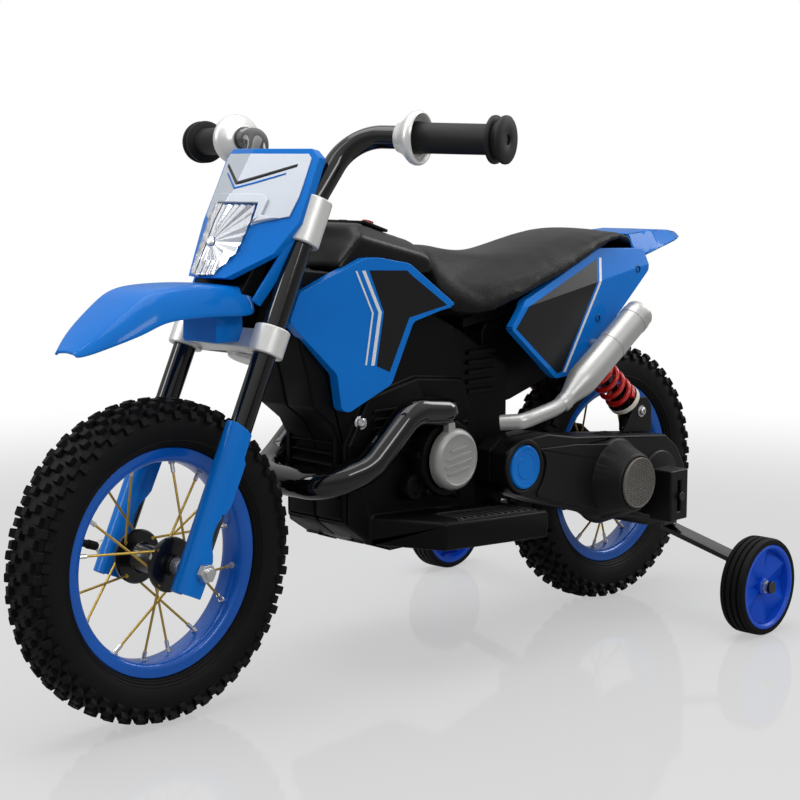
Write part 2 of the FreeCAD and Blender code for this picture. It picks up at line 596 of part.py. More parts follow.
def arm_bores(label, start, end):
    span = f"{end} - {start} + 2 * overrun"
    return [rod(label + "_pivot_bore", "pivot_radius + running_clearance", span,
                at_track(pivot, f"{start} - overrun"), ACROSS),
            rod(label + "_axle_bore", "axle_radius + slide_clearance", span,
                at_track(rear_axle, f"{start} - overrun"), ACROSS)]


def swing_arm(idler_axis):
    inner, split, outer = "arm_inner_track", "arm_split_track", "arm_outer_track"
    pin = rod("idler_pin", "idler_pin_radius", "gear_track + gear_width - arm_inner_track",
              at_track(idler_axis, inner), ACROSS)
    case = fuse("gearbox_case_solid", *arm_half("gearbox_case", inner, split, True), pin)
    hub_hole = rod("case_hub_hole", "hub_boss_radius + moving_gap", "arm_wall + 2 * overrun",
                   at_track(rear_axle, "arm_inner_track - overrun"), ACROSS)
    kept(cut("gearbox_case", case, hub_hole, *arm_bores("gearbox_case", inner, split)))
    seam = "(arm_split_track + slide_clearance)"
    lip, foot = "motor_radius + bulge_wall", f"{seam} + arm_wall"
    bulge = turned("motor_bulge", [(foot, "motor_radius"), (foot, f"{lip} + bulge_flare"),
                                   ("bulge_track", lip), ("bulge_track", "motor_radius")],
                   Placement(at_track(motor_axis, "0"), Rotation()))
    cover = fuse("gearbox_cover_solid", *arm_half("gearbox_cover", seam, outer, False), bulge)
    room = rod("motor_room", "motor_radius + seat_gap", f"bulge_track - {seam} + 2 * overrun",
               at_track(motor_axis, f"{seam} - overrun"), ACROSS)
    kept(cut("gearbox_cover", cover, room, *arm_bores("gearbox_cover", seam, outer)))
    right = fuse("swingarm_right_solid", *arm_half("swingarm_right", inner, outer, False))
    kept(mirrored("swingarm_right", cut("swingarm_right_left", right, *arm_bores("swingarm_right", inner,
                                                                                 outer))))
    disc = rod("grille_disc", "grille_radius", "grille_thickness",
               at_track(motor_axis, "bulge_track + seat_gap"), ACROSS)
    holes = []
    for ring in range(1, 4):
        for number in range(6 * ring):
            turn = 2 * math.pi * number / (6 * ring)
            reach = ring * val("grille_ring_pitch")
            spot = at_track(motor_axis, "bulge_track") + Vector(reach * math.sin(turn), 0,
                                                                reach * math.cos(turn))
            holes.append(rod(f"grille_hole_{ring}_{number}", "grille_hole_radius",
                             "grille_thickness + 2 * overrun", spot, ACROSS))
    kept(cut("motor_grille", disc, *holes))
    cap = rod("pivot_cap", "pivot_cap_radius", "pivot_cap_thickness",
              at_track(pivot, "arm_outer_track + moving_gap"), ACROSS)
    kept(pair("pivot_caps", cap))
    kept(compound("pivot_shafts",
                  rod("swing_shaft", "pivot_radius", "2 * arm_outer_track",
                      at_track(pivot, "-arm_outer_track"), ACROSS),
                  rod("shock_shaft", "shock_pin_radius",
                      "2 * (shock_track + shock_eye_half_width + bracket_wall)",
                      at_track(shock_high, "-(shock_track + shock_eye_half_width + bracket_wall)"),
                      ACROSS)))
    nut_face = "(arm_outer_track + seat_gap + plate_thickness + seat_gap)"
    tip = f"({nut_face} + nut_height)"
    gear_end = "(gear_track + gear_width + 2 * moving_gap)"
    pieces = [rod("rear_axle_rod", "axle_radius", f"2 * {tip}", at_track(rear_axle, f"-{tip}"), ACROSS),
              rod("rear_spacer_left", "spacer_radius",
                  f"arm_outer_track - arm_wall - seat_gap - {gear_end}",
                  at_track(rear_axle, gear_end), ACROSS),
              rod("rear_spacer_right", "spacer_radius",
                  "arm_inner_track - hub_half_length - 2 * moving_gap",
                  at_track(rear_axle, "-hub_half_length - moving_gap"), -ACROSS)]
    for side, way in (("left", 1), ("right", -1)):
        pieces.append(hexagon(f"rear_nut_{side}", "nut_radius", "nut_height",
                              rear_axle + ACROSS * way * val(nut_face), ACROSS * way))
    kept(fuse("rear_axle", *pieces))


def steering():
    low, ring = "low_clamp_reach", "clamp_ring_radius"
    leg = rod("fork_leg_tube", "leg_radius", f"leg_tail + {high_clamp} - seat_gap",
              point("0", "leg_half_track", "-leg_tail"), UP, steer)
    leg_core = rod("fork_leg_core", "leg_radius - leg_wall", f"leg_tail + {high_clamp} + 2 * overrun",
                   point("0", "leg_half_track", "-leg_tail + leg_wall"), UP, steer)
    leg_hole = rod("fork_leg_hole", "axle_radius + slide_clearance", "4 * leg_radius",
                   at_track(front_axle, "leg_half_track - 2 * leg_radius"), ACROSS)
    left_leg = kept(cut("fork_leg_left", leg, leg_core, leg_hole))
    kept(mirrored("fork_leg_right", left_leg))
    for name, middle, height in (("lower", low, "low_clamp_height"),
                                 ("upper", high_clamp, "high_clamp_height")):
        base = f"{middle} - {height} / 2"
        solids = [rod(f"{name}_stem_boss", ring, height, point("-stem_offset", "0", base), UP, steer)]
        holes = []
        for side, way in (("left", ""), ("right", "-")):
            spot = point("0", way + "leg_half_track", base)
            solids.append(rod(f"{name}_ring_{side}", ring, height, spot, UP, steer))
            holes.append(rod(f"{name}_leg_hole_{side}", "leg_radius + slide_clearance",
                             f"{height} + 2 * overrun",
                             point("0", way + "leg_half_track", f"{base} - overrun"), UP, steer))
        solids.append(block(f"{name}_bridge", "clamp_bridge_front + clamp_bridge_rear",
                            "2 * leg_half_track",
                            "clamp_bridge_height", point("-clamp_bridge_rear", "-leg_half_track",
                                                         f"{middle} - clamp_bridge_height / 2"), steer))
        if name == "lower":
            stem = rod("stem", "stem_radius", f"clamp_spacing + high_clamp_height / 2",
                       point("-stem_offset", "0", low), UP, steer)
            kept(fuse("lower_clamp", cut("lower_clamp_plate", fuse("lower_clamp_solid", *solids), *holes),
                      stem))
        else:
            holes.append(rod("upper_stem_hole", "stem_radius + slide_clearance", f"{height} + 2 * overrun",
                             point("-stem_offset", "0", f"{base} - overrun"), UP, steer))
            kept(cut("upper_clamp", fuse("upper_clamp_solid", *solids), *holes))
    tube_low = f"low_clamp_reach + low_clamp_height / 2 + head_tube_gap"
    tube_length = "clamp_spacing - low_clamp_height / 2 - high_clamp_height / 2 - 2 * head_tube_gap"
    tube = rod("head_tube_solid", "head_tube_radius", tube_length, point("-stem_offset", "0", tube_low), UP,
               steer)
    kept(cut("head_tube", tube, rod("head_tube_bore", "stem_radius + running_clearance",
                                    f"{tube_length} + 2 * overrun",
                                    point("-stem_offset", "0", f"{tube_low} - overrun"), UP, steer)))


def bar_corners():
    start = steer.multVec(point("0", "leg_half_track", high_clamp + " + seat_gap"))
    top = steer.multVec(point("0", "leg_half_track", high_clamp + " + bar_rise"))
    bend = point("wheelbase / 2 - bar_bend_setback", "bar_bend_half_track", "bar_height")
    end = point("wheelbase / 2 - bar_bend_setback - bar_sweep", "bar_half_width - grip_end_wall",
                "bar_height - bar_droop")
    return [start, top, bend, end]


def handlebars():
    corners = bar_corners()
    bar = swept("handlebar_tube", path_wire(corners, [val("bar_bend_radius")] * 2), "leg_radius")
    kept(pair("handlebars", bar))
    way = (corners[3] - corners[2]).normalize()
    middle = corners[2] + way * ((val("collar_half_track") - corners[2].y) / way.y)
    place = Placement(middle, Rotation(ACROSS, way))
    bore = "leg_radius + slide_clearance"
    half, wide = "collar_half_length", "collar_radius"
    collar = turned("grip_collar", [(f"-{half}", bore), (f"-{half}", "collar_neck_radius",
                                                         "-collar_radius"),
                                    ("0", wide), (f"{half} - collar_lip", f"{wide} + collar_lip / 2"),
                                    (half, wide), (half, bore)], place)
    kept(pair("grip_collars", collar))
    near = "(collar_half_length + seat_gap)"
    flange, body_radius = "grip_flange_radius", "grip_radius"
    end = f"((bar_half_width - grip_end_wall - collar_half_track) / {way.y} + grip_end_wall)"
    first = f"({end} - 2 * grip_flange - grip_groove)"
    section = [(near, bore), (near, flange), (f"{near} + grip_flange", flange),
               (f"{near} + grip_flange", body_radius), (first, body_radius), (first, flange),
               (f"{first} + grip_flange", flange), (f"{first} + grip_flange", body_radius),
               (f"{end} - grip_flange", body_radius), (f"{end} - grip_flange", flange), (end, flange),
               (end, "grip_hole_radius"), (f"{end} - grip_end_wall + seat_gap", "grip_hole_radius"),
               (f"{end} - grip_end_wall + seat_gap", bore)]
    kept(pair("grips", turned("grip", section, place)))


def fork_guard():
    radius, wall, skirt, track = "guard_radius", "guard_wall", "guard_skirt", "leg_half_track"
    outline = [("0", f"{track} - {radius}", f"{radius} * {guard_arc_share}"),
               (radius, track, f"{radius} * {guard_arc_share}"),
               ("0", f"{track} + {radius}"), (f"-{skirt}", f"{track} + {radius}"),
               (f"-{skirt}", f"{track} + {radius} - {wall}"),
               ("0", f"{track} + {radius} - {wall}", f"-({radius} - {wall}) * {guard_arc_share}"),
               (f"{radius} - {wall}", track, f"-({radius} - {wall}) * {guard_arc_share}"),
               ("0", f"{track} - {radius} + {wall}"), (f"-{skirt}", f"{track} - {radius} + {wall}"),
               (f"-{skirt}", f"{track} - {radius}")]
    place = steer.multiply(Placement(point("0", "0", "-guard_low"), Rotation()))
    shell = padded("guard_shell", "XY_Plane", outline, "guard_low + guard_high", place)
    scallop = rod("guard_scallop", "guard_scallop_radius", "4 * guard_radius",
                  point("-guard_skirt - guard_scallop_radius + guard_scallop_depth",
                        "leg_half_track - 2 * guard_radius", "guard_scallop_height"), ACROSS, steer)
    slope = Placement(point("guard_radius + overrun", "leg_half_track - 2 * guard_radius", "guard_high"),
                      Rotation(ACROSS, -val("guard_slant_angle")))
    top = block("guard_top", "4 * guard_radius", "4 * guard_radius", "2 * guard_radius",
                point("-4 * guard_radius", "0", "0"), steer.multiply(slope))
    hole = rod("guard_hole", "axle_radius + slide_clearance", "4 * guard_radius",
               at_track(front_axle, "leg_half_track - 2 * guard_radius"), ACROSS)
    kept(pair("fork_guards", cut("fork_guard", shell, scallop, top, hole)))


def trough_loft(label, rear, front, low, high, half_width, skirt, wall, shares):
    # A fender: a flat roof with sloping sides, of one wall thickness, lofted through upright stations.
    wires = []
    for along, rise, wide, drop in shares:
        x = val(f"({rear}) + {along} * (({front}) - ({rear}))")
        z = val(f"({low}) + {rise} * (({high}) - ({low}))")
        half = val(half_width) * wide
        fall = val(skirt) * drop
        thick = val(wall)
        outer = [(-half, z - fall), (-half * roof_share, z), (half * roof_share, z), (half, z - fall)]
        inner = [(half - thick, z - fall), (half * roof_share - thick, z - thick),
                 (-half * roof_share + thick, z - thick), (-half + thick, z - fall)]
        wires.append(loop_of([Vector(x, y, level) for y, level in outer + inner]))
    return loft(label, wires, True)


def front_fender():
    rear, front = "wheelbase / 2 - fender_rear_setback", "wheelbase / 2 + fender_tip_lead"
    shell = trough_loft("fender_shell", rear, front, "fender_low", "fender_high", "fender_half_width",
                        "fender_skirt",
                        "fender_wall", fender_shares)
    wall = "fender_wall"
    # The box's lower rear edge rests against the sloping front of the lower clamp's bridge.
    bridge = steer.multVec(point("clamp_bridge_front", "0", "low_clamp_reach"))
    lean = math.radians(val("rake_angle"))
    drop = (bridge.z - val("fender_box_low")) * math.sin(lean)
    seat_x = bridge.x + (val("seat_gap") + drop) / math.cos(lean)
    corner = Vector(seat_x, val("-fender_box_half_width"), val("fender_box_low"))
    box = block("fender_box", "fender_box_length", "2 * fender_box_half_width",
                "fender_high - fender_wall - fender_box_low", corner)
    inside = block("fender_box_inside", "fender_box_length", f"2 * fender_box_half_width - 2 * {wall}",
                   f"fender_high - fender_box_low - 2 * {wall} - fender_skirt / 2",
                   corner + Vector(val(wall), val(wall), val(wall)))
    kept(fuse("front_fender", shell, cut("fender_box_shell", box, inside)))


def mask_section(rise, lift, half_width, thick):
    # A V section of the mask at one height, as thick as asked and lifted off the mask's front face.
    rear, front = "wheelbase / 2 - mask_rear_setback", "wheelbase / 2 - mask_front_setback"
    stations = sorted(mask_shares)
    for below, above in zip(stations, stations[1:]):
        if below[0] <= rise <= above[0]:
            part = (rise - below[0]) / (above[0] - below[0])
            ridge, edge, wide = (below[item] + part * (above[item] - below[item]) for item in (1, 2, 3))
    depth = val(f"({front}) - ({rear})")
    z = val(f"mask_low + {rise} * (mask_high - mask_low)")
    nose = val(rear) + depth * ridge + lift
    full = val("mask_half_width") * wide
    slope = depth * (ridge - edge) / full
    half = full if half_width is None else half_width
    flank = nose - slope * half
    return loop_of([Vector(flank, half, z), Vector(nose, 0, z), Vector(flank, -half, z),
                    Vector(flank - thick, -half, z), Vector(nose - thick, 0, z),
                    Vector(flank - thick, half, z)])


def front_mask():
    wall = val("mask_wall")
    shell = loft("mask_shell", [mask_section(station[0], 0, None, wall) for station in mask_shares], True)
    along, rise = strut_head_shares
    depth = "(mask_rear_setback - mask_front_setback)"
    shoulder = point(f"wheelbase / 2 - mask_rear_setback + {along} * {depth}",
                     "mask_half_width - 2 * mask_wall", f"mask_low + {rise} * (mask_high - mask_low)")
    foot = point("wheelbase / 2 - strut_foot_setback", "strut_foot_track", "strut_foot_height")
    width = val("strut_width")
    lean = Vector(width * strut_lean_shares[0], 0, width * strut_lean_shares[1])
    struts = []
    for side in (1, -1):
        ends = []
        for spot in (shoulder, foot):
            centre = Vector(spot.x, spot.y * side, spot.z)
            thick = Vector(0, wall * side, 0)
            ends.append(loop_of([centre - lean, centre + lean, centre + lean + thick,
                                 centre - lean + thick]))
        struts.append(loft(f"mask_strut_{'left' if side > 0 else 'right'}", ends, True))
    # A boss behind the mask reaches back to the upper clamp's bridge.
    boss = doc.addObject("Part::Common", "mask_boss")
    boss.Base = rod("mask_boss_rod", "mask_boss_radius", "mask_rear_setback",
                    point("clamp_bridge_front + seat_gap", "0", high_clamp), AHEAD, steer)
    boss.Tool = loft("mask_room", [mask_section(station[0], 0, None, val("mask_rear_setback"))
                                   for station in mask_shares], True)
    kept(fuse("front_mask", shell, boss, *struts))
    gap, skin, lens = val("seat_gap"), val("reflector_skin"), val("lamp_skin")
    width = val("mask_half_width")
    kept(loft("headlight_reflector", [mask_section(rise, gap + skin, width * share, skin)
                                      for rise, share in lamp_shares], True))
    kept(loft("headlight_lens", [mask_section(rise, 2 * gap + skin + lens, width * share, lens)
                                 for rise, share in lamp_shares], True))


def body_shell():
    trunk = padded("trunk", "XZ_Plane", box_outline("-wheelbase / 2 + trunk_rear_reach",
                   "wheelbase / 2 - trunk_front_setback", "trunk_low", "trunk_high", trunk_shares),
                   "trunk_half_width", Placement())
    engine = padded("engine", "XZ_Plane", box_outline(engine_rear,
                    "wheelbase / 2 - engine_front_setback", "trunk_low", "engine_high", engine_shares),
                    "engine_half_width", Placement())
    low_line = box_outline("-wheelbase / 2 + subframe_rear_reach",
                           "-wheelbase / 2 + trunk_rear_reach + subframe_lap",
                           "subframe_low", "subframe_high", subframe_shares)
    pan_line = box_outline(pan_rear, pan_front, "pan_low", "pan_high", reversed(pan_shares[1:3]))
    top_line = [(along, f"{rise} - seat_gap") for along, rise in pan_line]
    subframe = padded("subframe", "XZ_Plane", low_line + top_line, "subframe_half_width", Placement())
    footrest = padded("footrest", "XY_Plane", box_outline("0", "footrest_length", "0",
                                                          "footrest_half_width",
                      footrest_shares), "footrest_thickness", foot_frame, "footrest_edge")
    crank = rod("crankcase", "crank_radius", "crank_half_width",
                point(f"{engine_rear} + crank_lead", "0", "crank_height"),
                ACROSS)
    tube_low = "low_clamp_reach + low_clamp_height / 2 + head_tube_gap"
    tube_length = "clamp_spacing - low_clamp_height / 2 - high_clamp_height / 2 - 2 * head_tube_gap"
    neck = block("neck", "2 * neck_half_length", "neck_half_width", tube_length,
                 point("-stem_offset - neck_half_length", "0", tube_low), steer)
    bay = padded("battery_bay", "XZ_Plane",
                 box_outline("-wheelbase / 2 + trunk_rear_reach + bay_rear_wall",
                             "wheelbase / 2 - trunk_front_setback - bay_front_wall", battery_floor,
                             "trunk_high - bay_roof", bay_shares),
                 "trunk_half_width - bay_side_wall + overrun",
                 Placement(point("0", "-overrun", "0"), Rotation()))
    holes = [rod("neck_bore", "head_tube_radius + slide_clearance", f"{tube_length} + 2 * low_clamp_height",
                 point("-stem_offset", "0", f"{tube_low} - low_clamp_height"), UP, steer),
             rod("shell_pivot_bore", "pivot_radius + slide_clearance", "2 * trunk_half_width",
                 at_track(pivot, "-overrun"), ACROSS),
             rod("shell_shock_bore", "shock_pin_radius + slide_clearance", "2 * trunk_half_width",
                 at_track(shock_high, "-overrun"), ACROSS)]
    left = kept(cut("body_shell_left", fuse("shell_solid", trunk, engine, subframe, footrest, crank, neck),
                    bay, *holes))
    lugs = []
    for side, track in (("inner", "pedal_track - moving_gap"),
                        ("outer", "pedal_track + pedal_width + moving_gap + lug_width")):
        lugs.append(block(f"pedal_lug_{side}", "2 * lug_radius", "lug_width", "3 * lug_radius",
                          point("pedal_reach - lug_radius", f"-({track})",
                                "footrest_thickness - lug_radius"), foot_frame))
    pin_hole = rod("pedal_pin_hole", "pedal_pin_radius + running_clearance",
                   "pedal_width + 2 * lug_width + 2 * moving_gap",
                   point("pedal_reach", "-pedal_track - pedal_width - moving_gap - lug_width",
                         "footrest_thickness + lug_radius"),
                   ACROSS, foot_frame)
    kept(cut("body_shell_right", fuse("shell_with_lugs", mirrored("shell_mirror", left), *lugs), pin_hole))
    cap = turned("engine_cap", [("0", "0"), ("0", "cap_radius"), ("cap_thickness - cap_bevel",
                                                                  "cap_radius"),
                                ("cap_thickness", "cap_radius - cap_bevel"), ("cap_thickness", "0")],
                 Placement(point(f"{engine_rear} + crank_lead", "crank_half_width + seat_gap",
                                 "crank_height"), Rotation()))
    kept(pair("engine_caps", cap))


def battery():
    corner = point("-battery_length / 2", "-battery_width / 2", f"{battery_floor} + seat_gap")
    pieces = [block("battery_case", "battery_length", "battery_width", "battery_height", corner)]
    for side in (-1, 1):
        spot = Vector(side * val("battery_length") * terminal_share, 0,
                      val(f"{battery_floor} + seat_gap + battery_height"))
        pieces.append(rod(f"terminal_{side + 1}", "terminal_radius", "terminal_height", spot))
    kept(fuse("battery", *pieces))


def tank_cover():
    outline = box_outline("wheelbase / 2 - cover_rear_setback", "wheelbase / 2 - cover_front_setback",
                          "cover_low",
                          "cover_high", cover_shares)
    cover = padded("cover_block", "XZ_Plane", outline, "2 * cover_half_width",
                   Placement(point("0", "-cover_half_width", "0"), Rotation()))
    trunk = next(item for item in doc.Objects if item.Name == "shell_solid")
    fall = Placement(point("wheelbase / 2 - cover_shoulder_setback", "cover_shoulder_track", "cover_high"),
                     Rotation(ACROSS, -val("cover_fall_angle"))
                     * Rotation(AHEAD, -val("cover_shoulder_angle")))
    shoulder = block("cover_shoulder", "4 * cover_half_width", "cover_half_width", "cover_half_width",
                     point("-3 * cover_half_width", "0", "0"), fall)
    slot = Placement(point("wheelbase / 2 - dash_setback", "0", "dash_height"),
                     Rotation(ACROSS, -val("dash_tilt")))
    plate = block("dash_plate", "dash_length", "dash_width", "dash_thickness",
                  point("-dash_length / 2", "-dash_width / 2", "0"), slot)
    seat = block("dash_seat", "dash_length + 2 * seat_gap", "dash_width + 2 * seat_gap", "control_depth",
                 point("-dash_length / 2 - seat_gap", "-dash_width / 2 - seat_gap", "-seat_gap"), slot)
    clear = "moving_gap"
    well = rod("button_well", f"button_radius + {clear}", "control_depth + dash_thickness + overrun",
               point("0", "button_track", "-control_depth"), UP, slot)
    socket = block("rocker_well", "rocker_length + 2 * rocker_gap", f"rocker_width + 2 * {clear}",
                   "control_depth + dash_thickness + overrun",
                   point("-rocker_length / 2 - rocker_gap", f"-button_track - rocker_width / 2 - {clear}",
                         "-control_depth"), slot)
    pin_room = rod("rocker_pin_room", "rocker_pin_radius + running_clearance",
                   f"rocker_width + 2 * rocker_pin_reach + 2 * {clear}",
                   point("0", f"-button_track - rocker_width / 2 - rocker_pin_reach - {clear}", "0"),
                   ACROSS, slot)
    crown = cut("cover_crown", cover, shoulder, mirrored("cover_shoulder_right", shoulder))
    kept(cut("tank_cover", cut("cover_over_trunk", crown, trunk, mirrored("shell_solid_right", trunk)),
             seat, well, socket,
             pin_room))
    kept(cut("dash_panel", plate, well, socket, pin_room))
    kept(rod("power_button", "button_radius", "button_height",
             point("0", "button_track", "dash_thickness + button_proud - button_height"), UP, slot))
    lever = block("rocker_lever", "rocker_length", "rocker_width", "rocker_depth + rocker_proud",
                  point("-rocker_length / 2", "-button_track - rocker_width / 2",
                        "dash_thickness - rocker_depth"), slot)
    pin = rod("rocker_pin", "rocker_pin_radius", "rocker_width + 2 * rocker_pin_reach",
              point("0", "-button_track - rocker_width / 2 - rocker_pin_reach", "0"), ACROSS, slot)
    kept(fuse("direction_switch", lever, pin))


def flank_panel(label, rear, front, low, high, rear_track, front_track, shares, boss_shares, inner_track):
    # A panel leaning in towards one end, held to the body by bosses.
    rear_point, front_point = point(rear, rear_track, "0"), point(front, front_track, "0")
    length = (front_point - rear_point).Length
    turn = Rotation(AHEAD, front_point - rear_point)
    place = Placement(rear_point, turn).multiply(Placement(point("0", "-panel_wall", "0"), Rotation()))
    outline = box_outline("0", f"(({front}) - ({rear})) * {length} / {front_point.x - rear_point.x}", low,
                          high, shares)
    panel = padded(label + "_skin", "XZ_Plane", outline, "panel_wall", place, "panel_edge")
    bosses = []
    for number, (along, rise) in enumerate(boss_shares):
        spot = rear_point + (front_point - rear_point) * along
        base = val(inner_track)
        bosses.append(rod(f"{label}_boss_{number}", "boss_radius", f"{spot.y - base} - panel_wall / 2",
                          Vector(spot.x, base, val(f"{low} + {rise} * ({high} - {low})")), ACROSS))
    left = kept(fuse(label + "_left", panel, *bosses))
    kept(mirrored(label + "_right", left))


def panels():
    flank_panel("tank_panel", "wheelbase / 2 - tank_panel_rear_setback",
                "wheelbase / 2 - tank_panel_front_setback",
                "tank_panel_low", "tank_panel_high", "tank_panel_rear_track", "tank_panel_front_track",
                tank_panel_shares, tank_boss_shares, "trunk_half_width + seat_gap")
    flank_panel("side_panel", "-wheelbase / 2 + side_panel_rear_reach",
                "-wheelbase / 2 + side_panel_front_reach",
                "side_panel_low", "side_panel_high", "side_panel_rear_track", "side_panel_front_track",
                side_panel_shares, side_boss_shares, "subframe_half_width + seat_gap")


def seat():
    rear, front = "-wheelbase / 2 + seat_rear_reach", "wheelbase / 2 - seat_front_setback"
    wires = []
    for along, under, crown, wide, top in seat_shares:
        x = val(f"({rear}) + {along} * (({front}) - ({rear}))")
        low = val(f"seat_low + {under} * (seat_high - seat_low)")
        high = val(f"seat_low + {crown} * (seat_high - seat_low)")
        half = val("seat_half_width") * wide
        upper = half * top
        shoulder = low + (high - low) * seat_shoulder_share
        middle = (low + shoulder) / 2
        lean = half + (half - upper) * seat_bulge_share
        edges = [Part.makeLine(Vector(x, half, low), Vector(x, -half, low)),
                 Part.Arc(Vector(x, -half, low), Vector(x, -lean, middle),
                          Vector(x, -upper, shoulder)).toShape(),
                 Part.Arc(Vector(x, -upper, shoulder), Vector(x, 0, high),
                          Vector(x, upper, shoulder)).toShape(),
                 Part.Arc(Vector(x, upper, shoulder), Vector(x, lean, middle),
                          Vector(x, half, low)).toShape()]
        wires.append(Part.Wire(edges))
    kept(loft("seat_pad", wires, False))
    outline = box_outline(pan_rear, pan_front, "pan_low", "pan_high", pan_shares)
    kept(padded("seat_pan", "XZ_Plane", outline, "2 * pan_half_width",
                Placement(point("0", "-pan_half_width", "0"), Rotation())))


def tail_fender():
    rear, front = "-wheelbase / 2 + seat_rear_reach - moving_gap", "-wheelbase / 2 - tail_tip_lag"
    shell = trough_loft("tail_shell", rear, front, "tail_low", "tail_high", "tail_half_width", "tail_skirt",
                        "tail_wall",
                        tail_shares)
    post_x = "-wheelbase / 2 + seat_rear_reach - moving_gap - tongue_post"
    post = block("tail_post", "tongue_post", "2 * tongue_half_width",
                 "tail_high - tail_wall - subframe_high + tongue_height",
                 point(post_x, "-tongue_half_width", "subframe_high - tongue_height"))
    tongue = block("tail_tongue", f"-wheelbase / 2 + subframe_rear_reach - seat_gap - ({post_x})",
                   "2 * tongue_half_width",
                   "tongue_height", point(post_x, "-tongue_half_width", "subframe_high - tongue_height"))
    kept(fuse("tail_fender", shell, post, tongue))


def exhausts():
    rear, front = "-wheelbase / 2 + exhaust_rear_reach", "-wheelbase / 2 + exhaust_front_reach"
    spots = box_outline(rear, front, "exhaust_low", "exhaust_high", exhaust_shares)
    inlet, knee, mouth = (point(along, "exhaust_track", rise) for along, rise in spots)
    pipe = swept("exhaust_pipe", path_wire([inlet, knee, mouth], [val("exhaust_bend")]),
                 "exhaust_pipe_radius")
    end = doc.addObject("Part::Sphere", "exhaust_end")
    end.setExpression("Radius", bound("exhaust_pipe_radius"))
    end.Placement = Placement(inlet, Rotation())
    way = (mouth - knee).normalize()
    stay_base = knee + way * val("exhaust_stay_reach")
    stay = rod("exhaust_stay", "exhaust_stay_radius", "exhaust_track - subframe_half_width - seat_gap",
               at_track(stay_base, "subframe_half_width + seat_gap"), ACROSS)
    start = knee + way * val("exhaust_cone")
    cone = doc.addObject("Part::Cone", "exhaust_cone_piece")
    for side, amount in (("Radius1", "exhaust_pipe_radius"), ("Radius2", "exhaust_radius"),
                         ("Height", "exhaust_cone")):
        cone.setExpression(side, bound(amount))
    cone.Placement = Placement(start, Rotation(UP, way))
    can_start = start + way * val("exhaust_cone")
    can = doc.addObject("Part::Cylinder", "exhaust_can")
    can.setExpression("Radius", bound("exhaust_radius"))
    can.Height = (mouth - can_start).Length
    can.Placement = Placement(can_start, Rotation(UP, way))
    bore = rod("exhaust_mouth", "exhaust_mouth_radius", "exhaust_mouth_depth + overrun",
               mouth - way * val("exhaust_mouth_depth"), way)
    kept(pair("exhausts", cut("exhaust", fuse("exhaust_solid", pipe, end, cone, can, stay), bore)))


def header_pipe():
    rear, front = "-wheelbase / 2 + header_rear_reach", "wheelbase / 2 - header_front_setback"
    spots = box_outline(rear, front, "header_low", "header_high", header_shares)
    left = [point(along, f"header_track * {track}", rise) for (along, rise),
            track in zip(spots, header_track_shares)]
    left.insert(0, Vector(left[0].x, val("engine_half_width + seat_gap"), left[0].z))
    right = [Vector(spot.x, -spot.y, spot.z) for spot in reversed(left)]
    bends = [val("header_port_bend")] + [val("header_bend")] * (len(left) * 2 - 4) + [val("header_port_bend")]
    kept(swept("header_pipe", path_wire(left + right, bends), "header_radius"))


def spring_wire(start, way, length):
    # A coil of quarter turns, two arcs each, whose ends turn up and run straight, square to the collars.
    aside = ACROSS.cross(way).normalize()
    radius, bend = val("spring_radius"), val("spring_bend")
    straight = 2 * val("spring_wire_radius")
    steps = int(val("spring_turns")) * 4
    rise = (length - 2 * (straight + bend)) / steps

    def ring_spot(turn, height):
        return start + way * height + (aside * math.cos(turn) + ACROSS * math.sin(turn)) * radius

    def spot(step):
        return ring_spot(step * math.pi / 2, straight + bend + rise * step)

    def tangent(step):
        turn = step * math.pi / 2
        round_way = (ACROSS * math.cos(turn) - aside * math.sin(turn)) * radius
        return (round_way + way * (rise / (math.pi / 2))).normalize()

    lead = bend / radius
    foot, head = ring_spot(-lead, 0), ring_spot(steps * math.pi / 2 + lead, length)
    edges = [Part.makeLine(foot, foot + way * straight)]
    edges += biarc(foot + way * straight, way, spot(0), tangent(0))
    for step in range(steps):
        edges += biarc(spot(step), tangent(step), spot(step + 1), tangent(step + 1))
    edges += biarc(spot(steps), tangent(steps), head - way * straight, way)
    edges.append(Part.makeLine(head - way * straight, head))
    return edges, [spot(step / 8) for step in range(steps * 8 + 1)]


def biarc(start, leaving, end, arriving):
    # Two arcs that leave and arrive along the given tangents.
    chord = end - start
    both = leaving + arriving
    square = 2 * (1 - leaving.dot(arriving))
    slope = chord.dot(both)
    reach = (-slope + math.sqrt(slope * slope + square * chord.dot(chord))) / square
    middle = (start + leaving * reach + end - arriving * reach) * 0.5
    arcs = []
    for first, way, last in ((start, leaving, middle), (middle, None, end)):
        if way is None:
            way = (end - arriving * reach - start - leaving * reach).normalize()
        run = last - first
        normal = (run - way * run.dot(way)).normalize()
        radius = run.dot(run) / (2 * run.dot(normal))
        sweep = 2 * math.atan2(run.dot(normal), run.dot(way))
        centre = first + normal * radius
        half = centre - normal * radius * math.cos(sweep / 2) + way * radius * math.sin(sweep / 2)
        arcs.append(Part.Arc(first, half, last).toShape())
    return arcs


def least_gap(points):
    # The nearest approach of the wire to another turn of itself, from surface to surface.
    nearest = None
    window = val("spring_radius")
    travelled = [0]
    for before, after in zip(points, points[1:]):
        travelled.append(travelled[-1] + (after - before).Length)
    for index, first in enumerate(points):
        for other in range(index + 1, len(points)):
            if travelled[other] - travelled[index] > math.pi * window:
                distance = (points[other] - first).Length
                nearest = distance if nearest is None else min(nearest, distance)
    return nearest - 2 * val("spring_wire_radius")


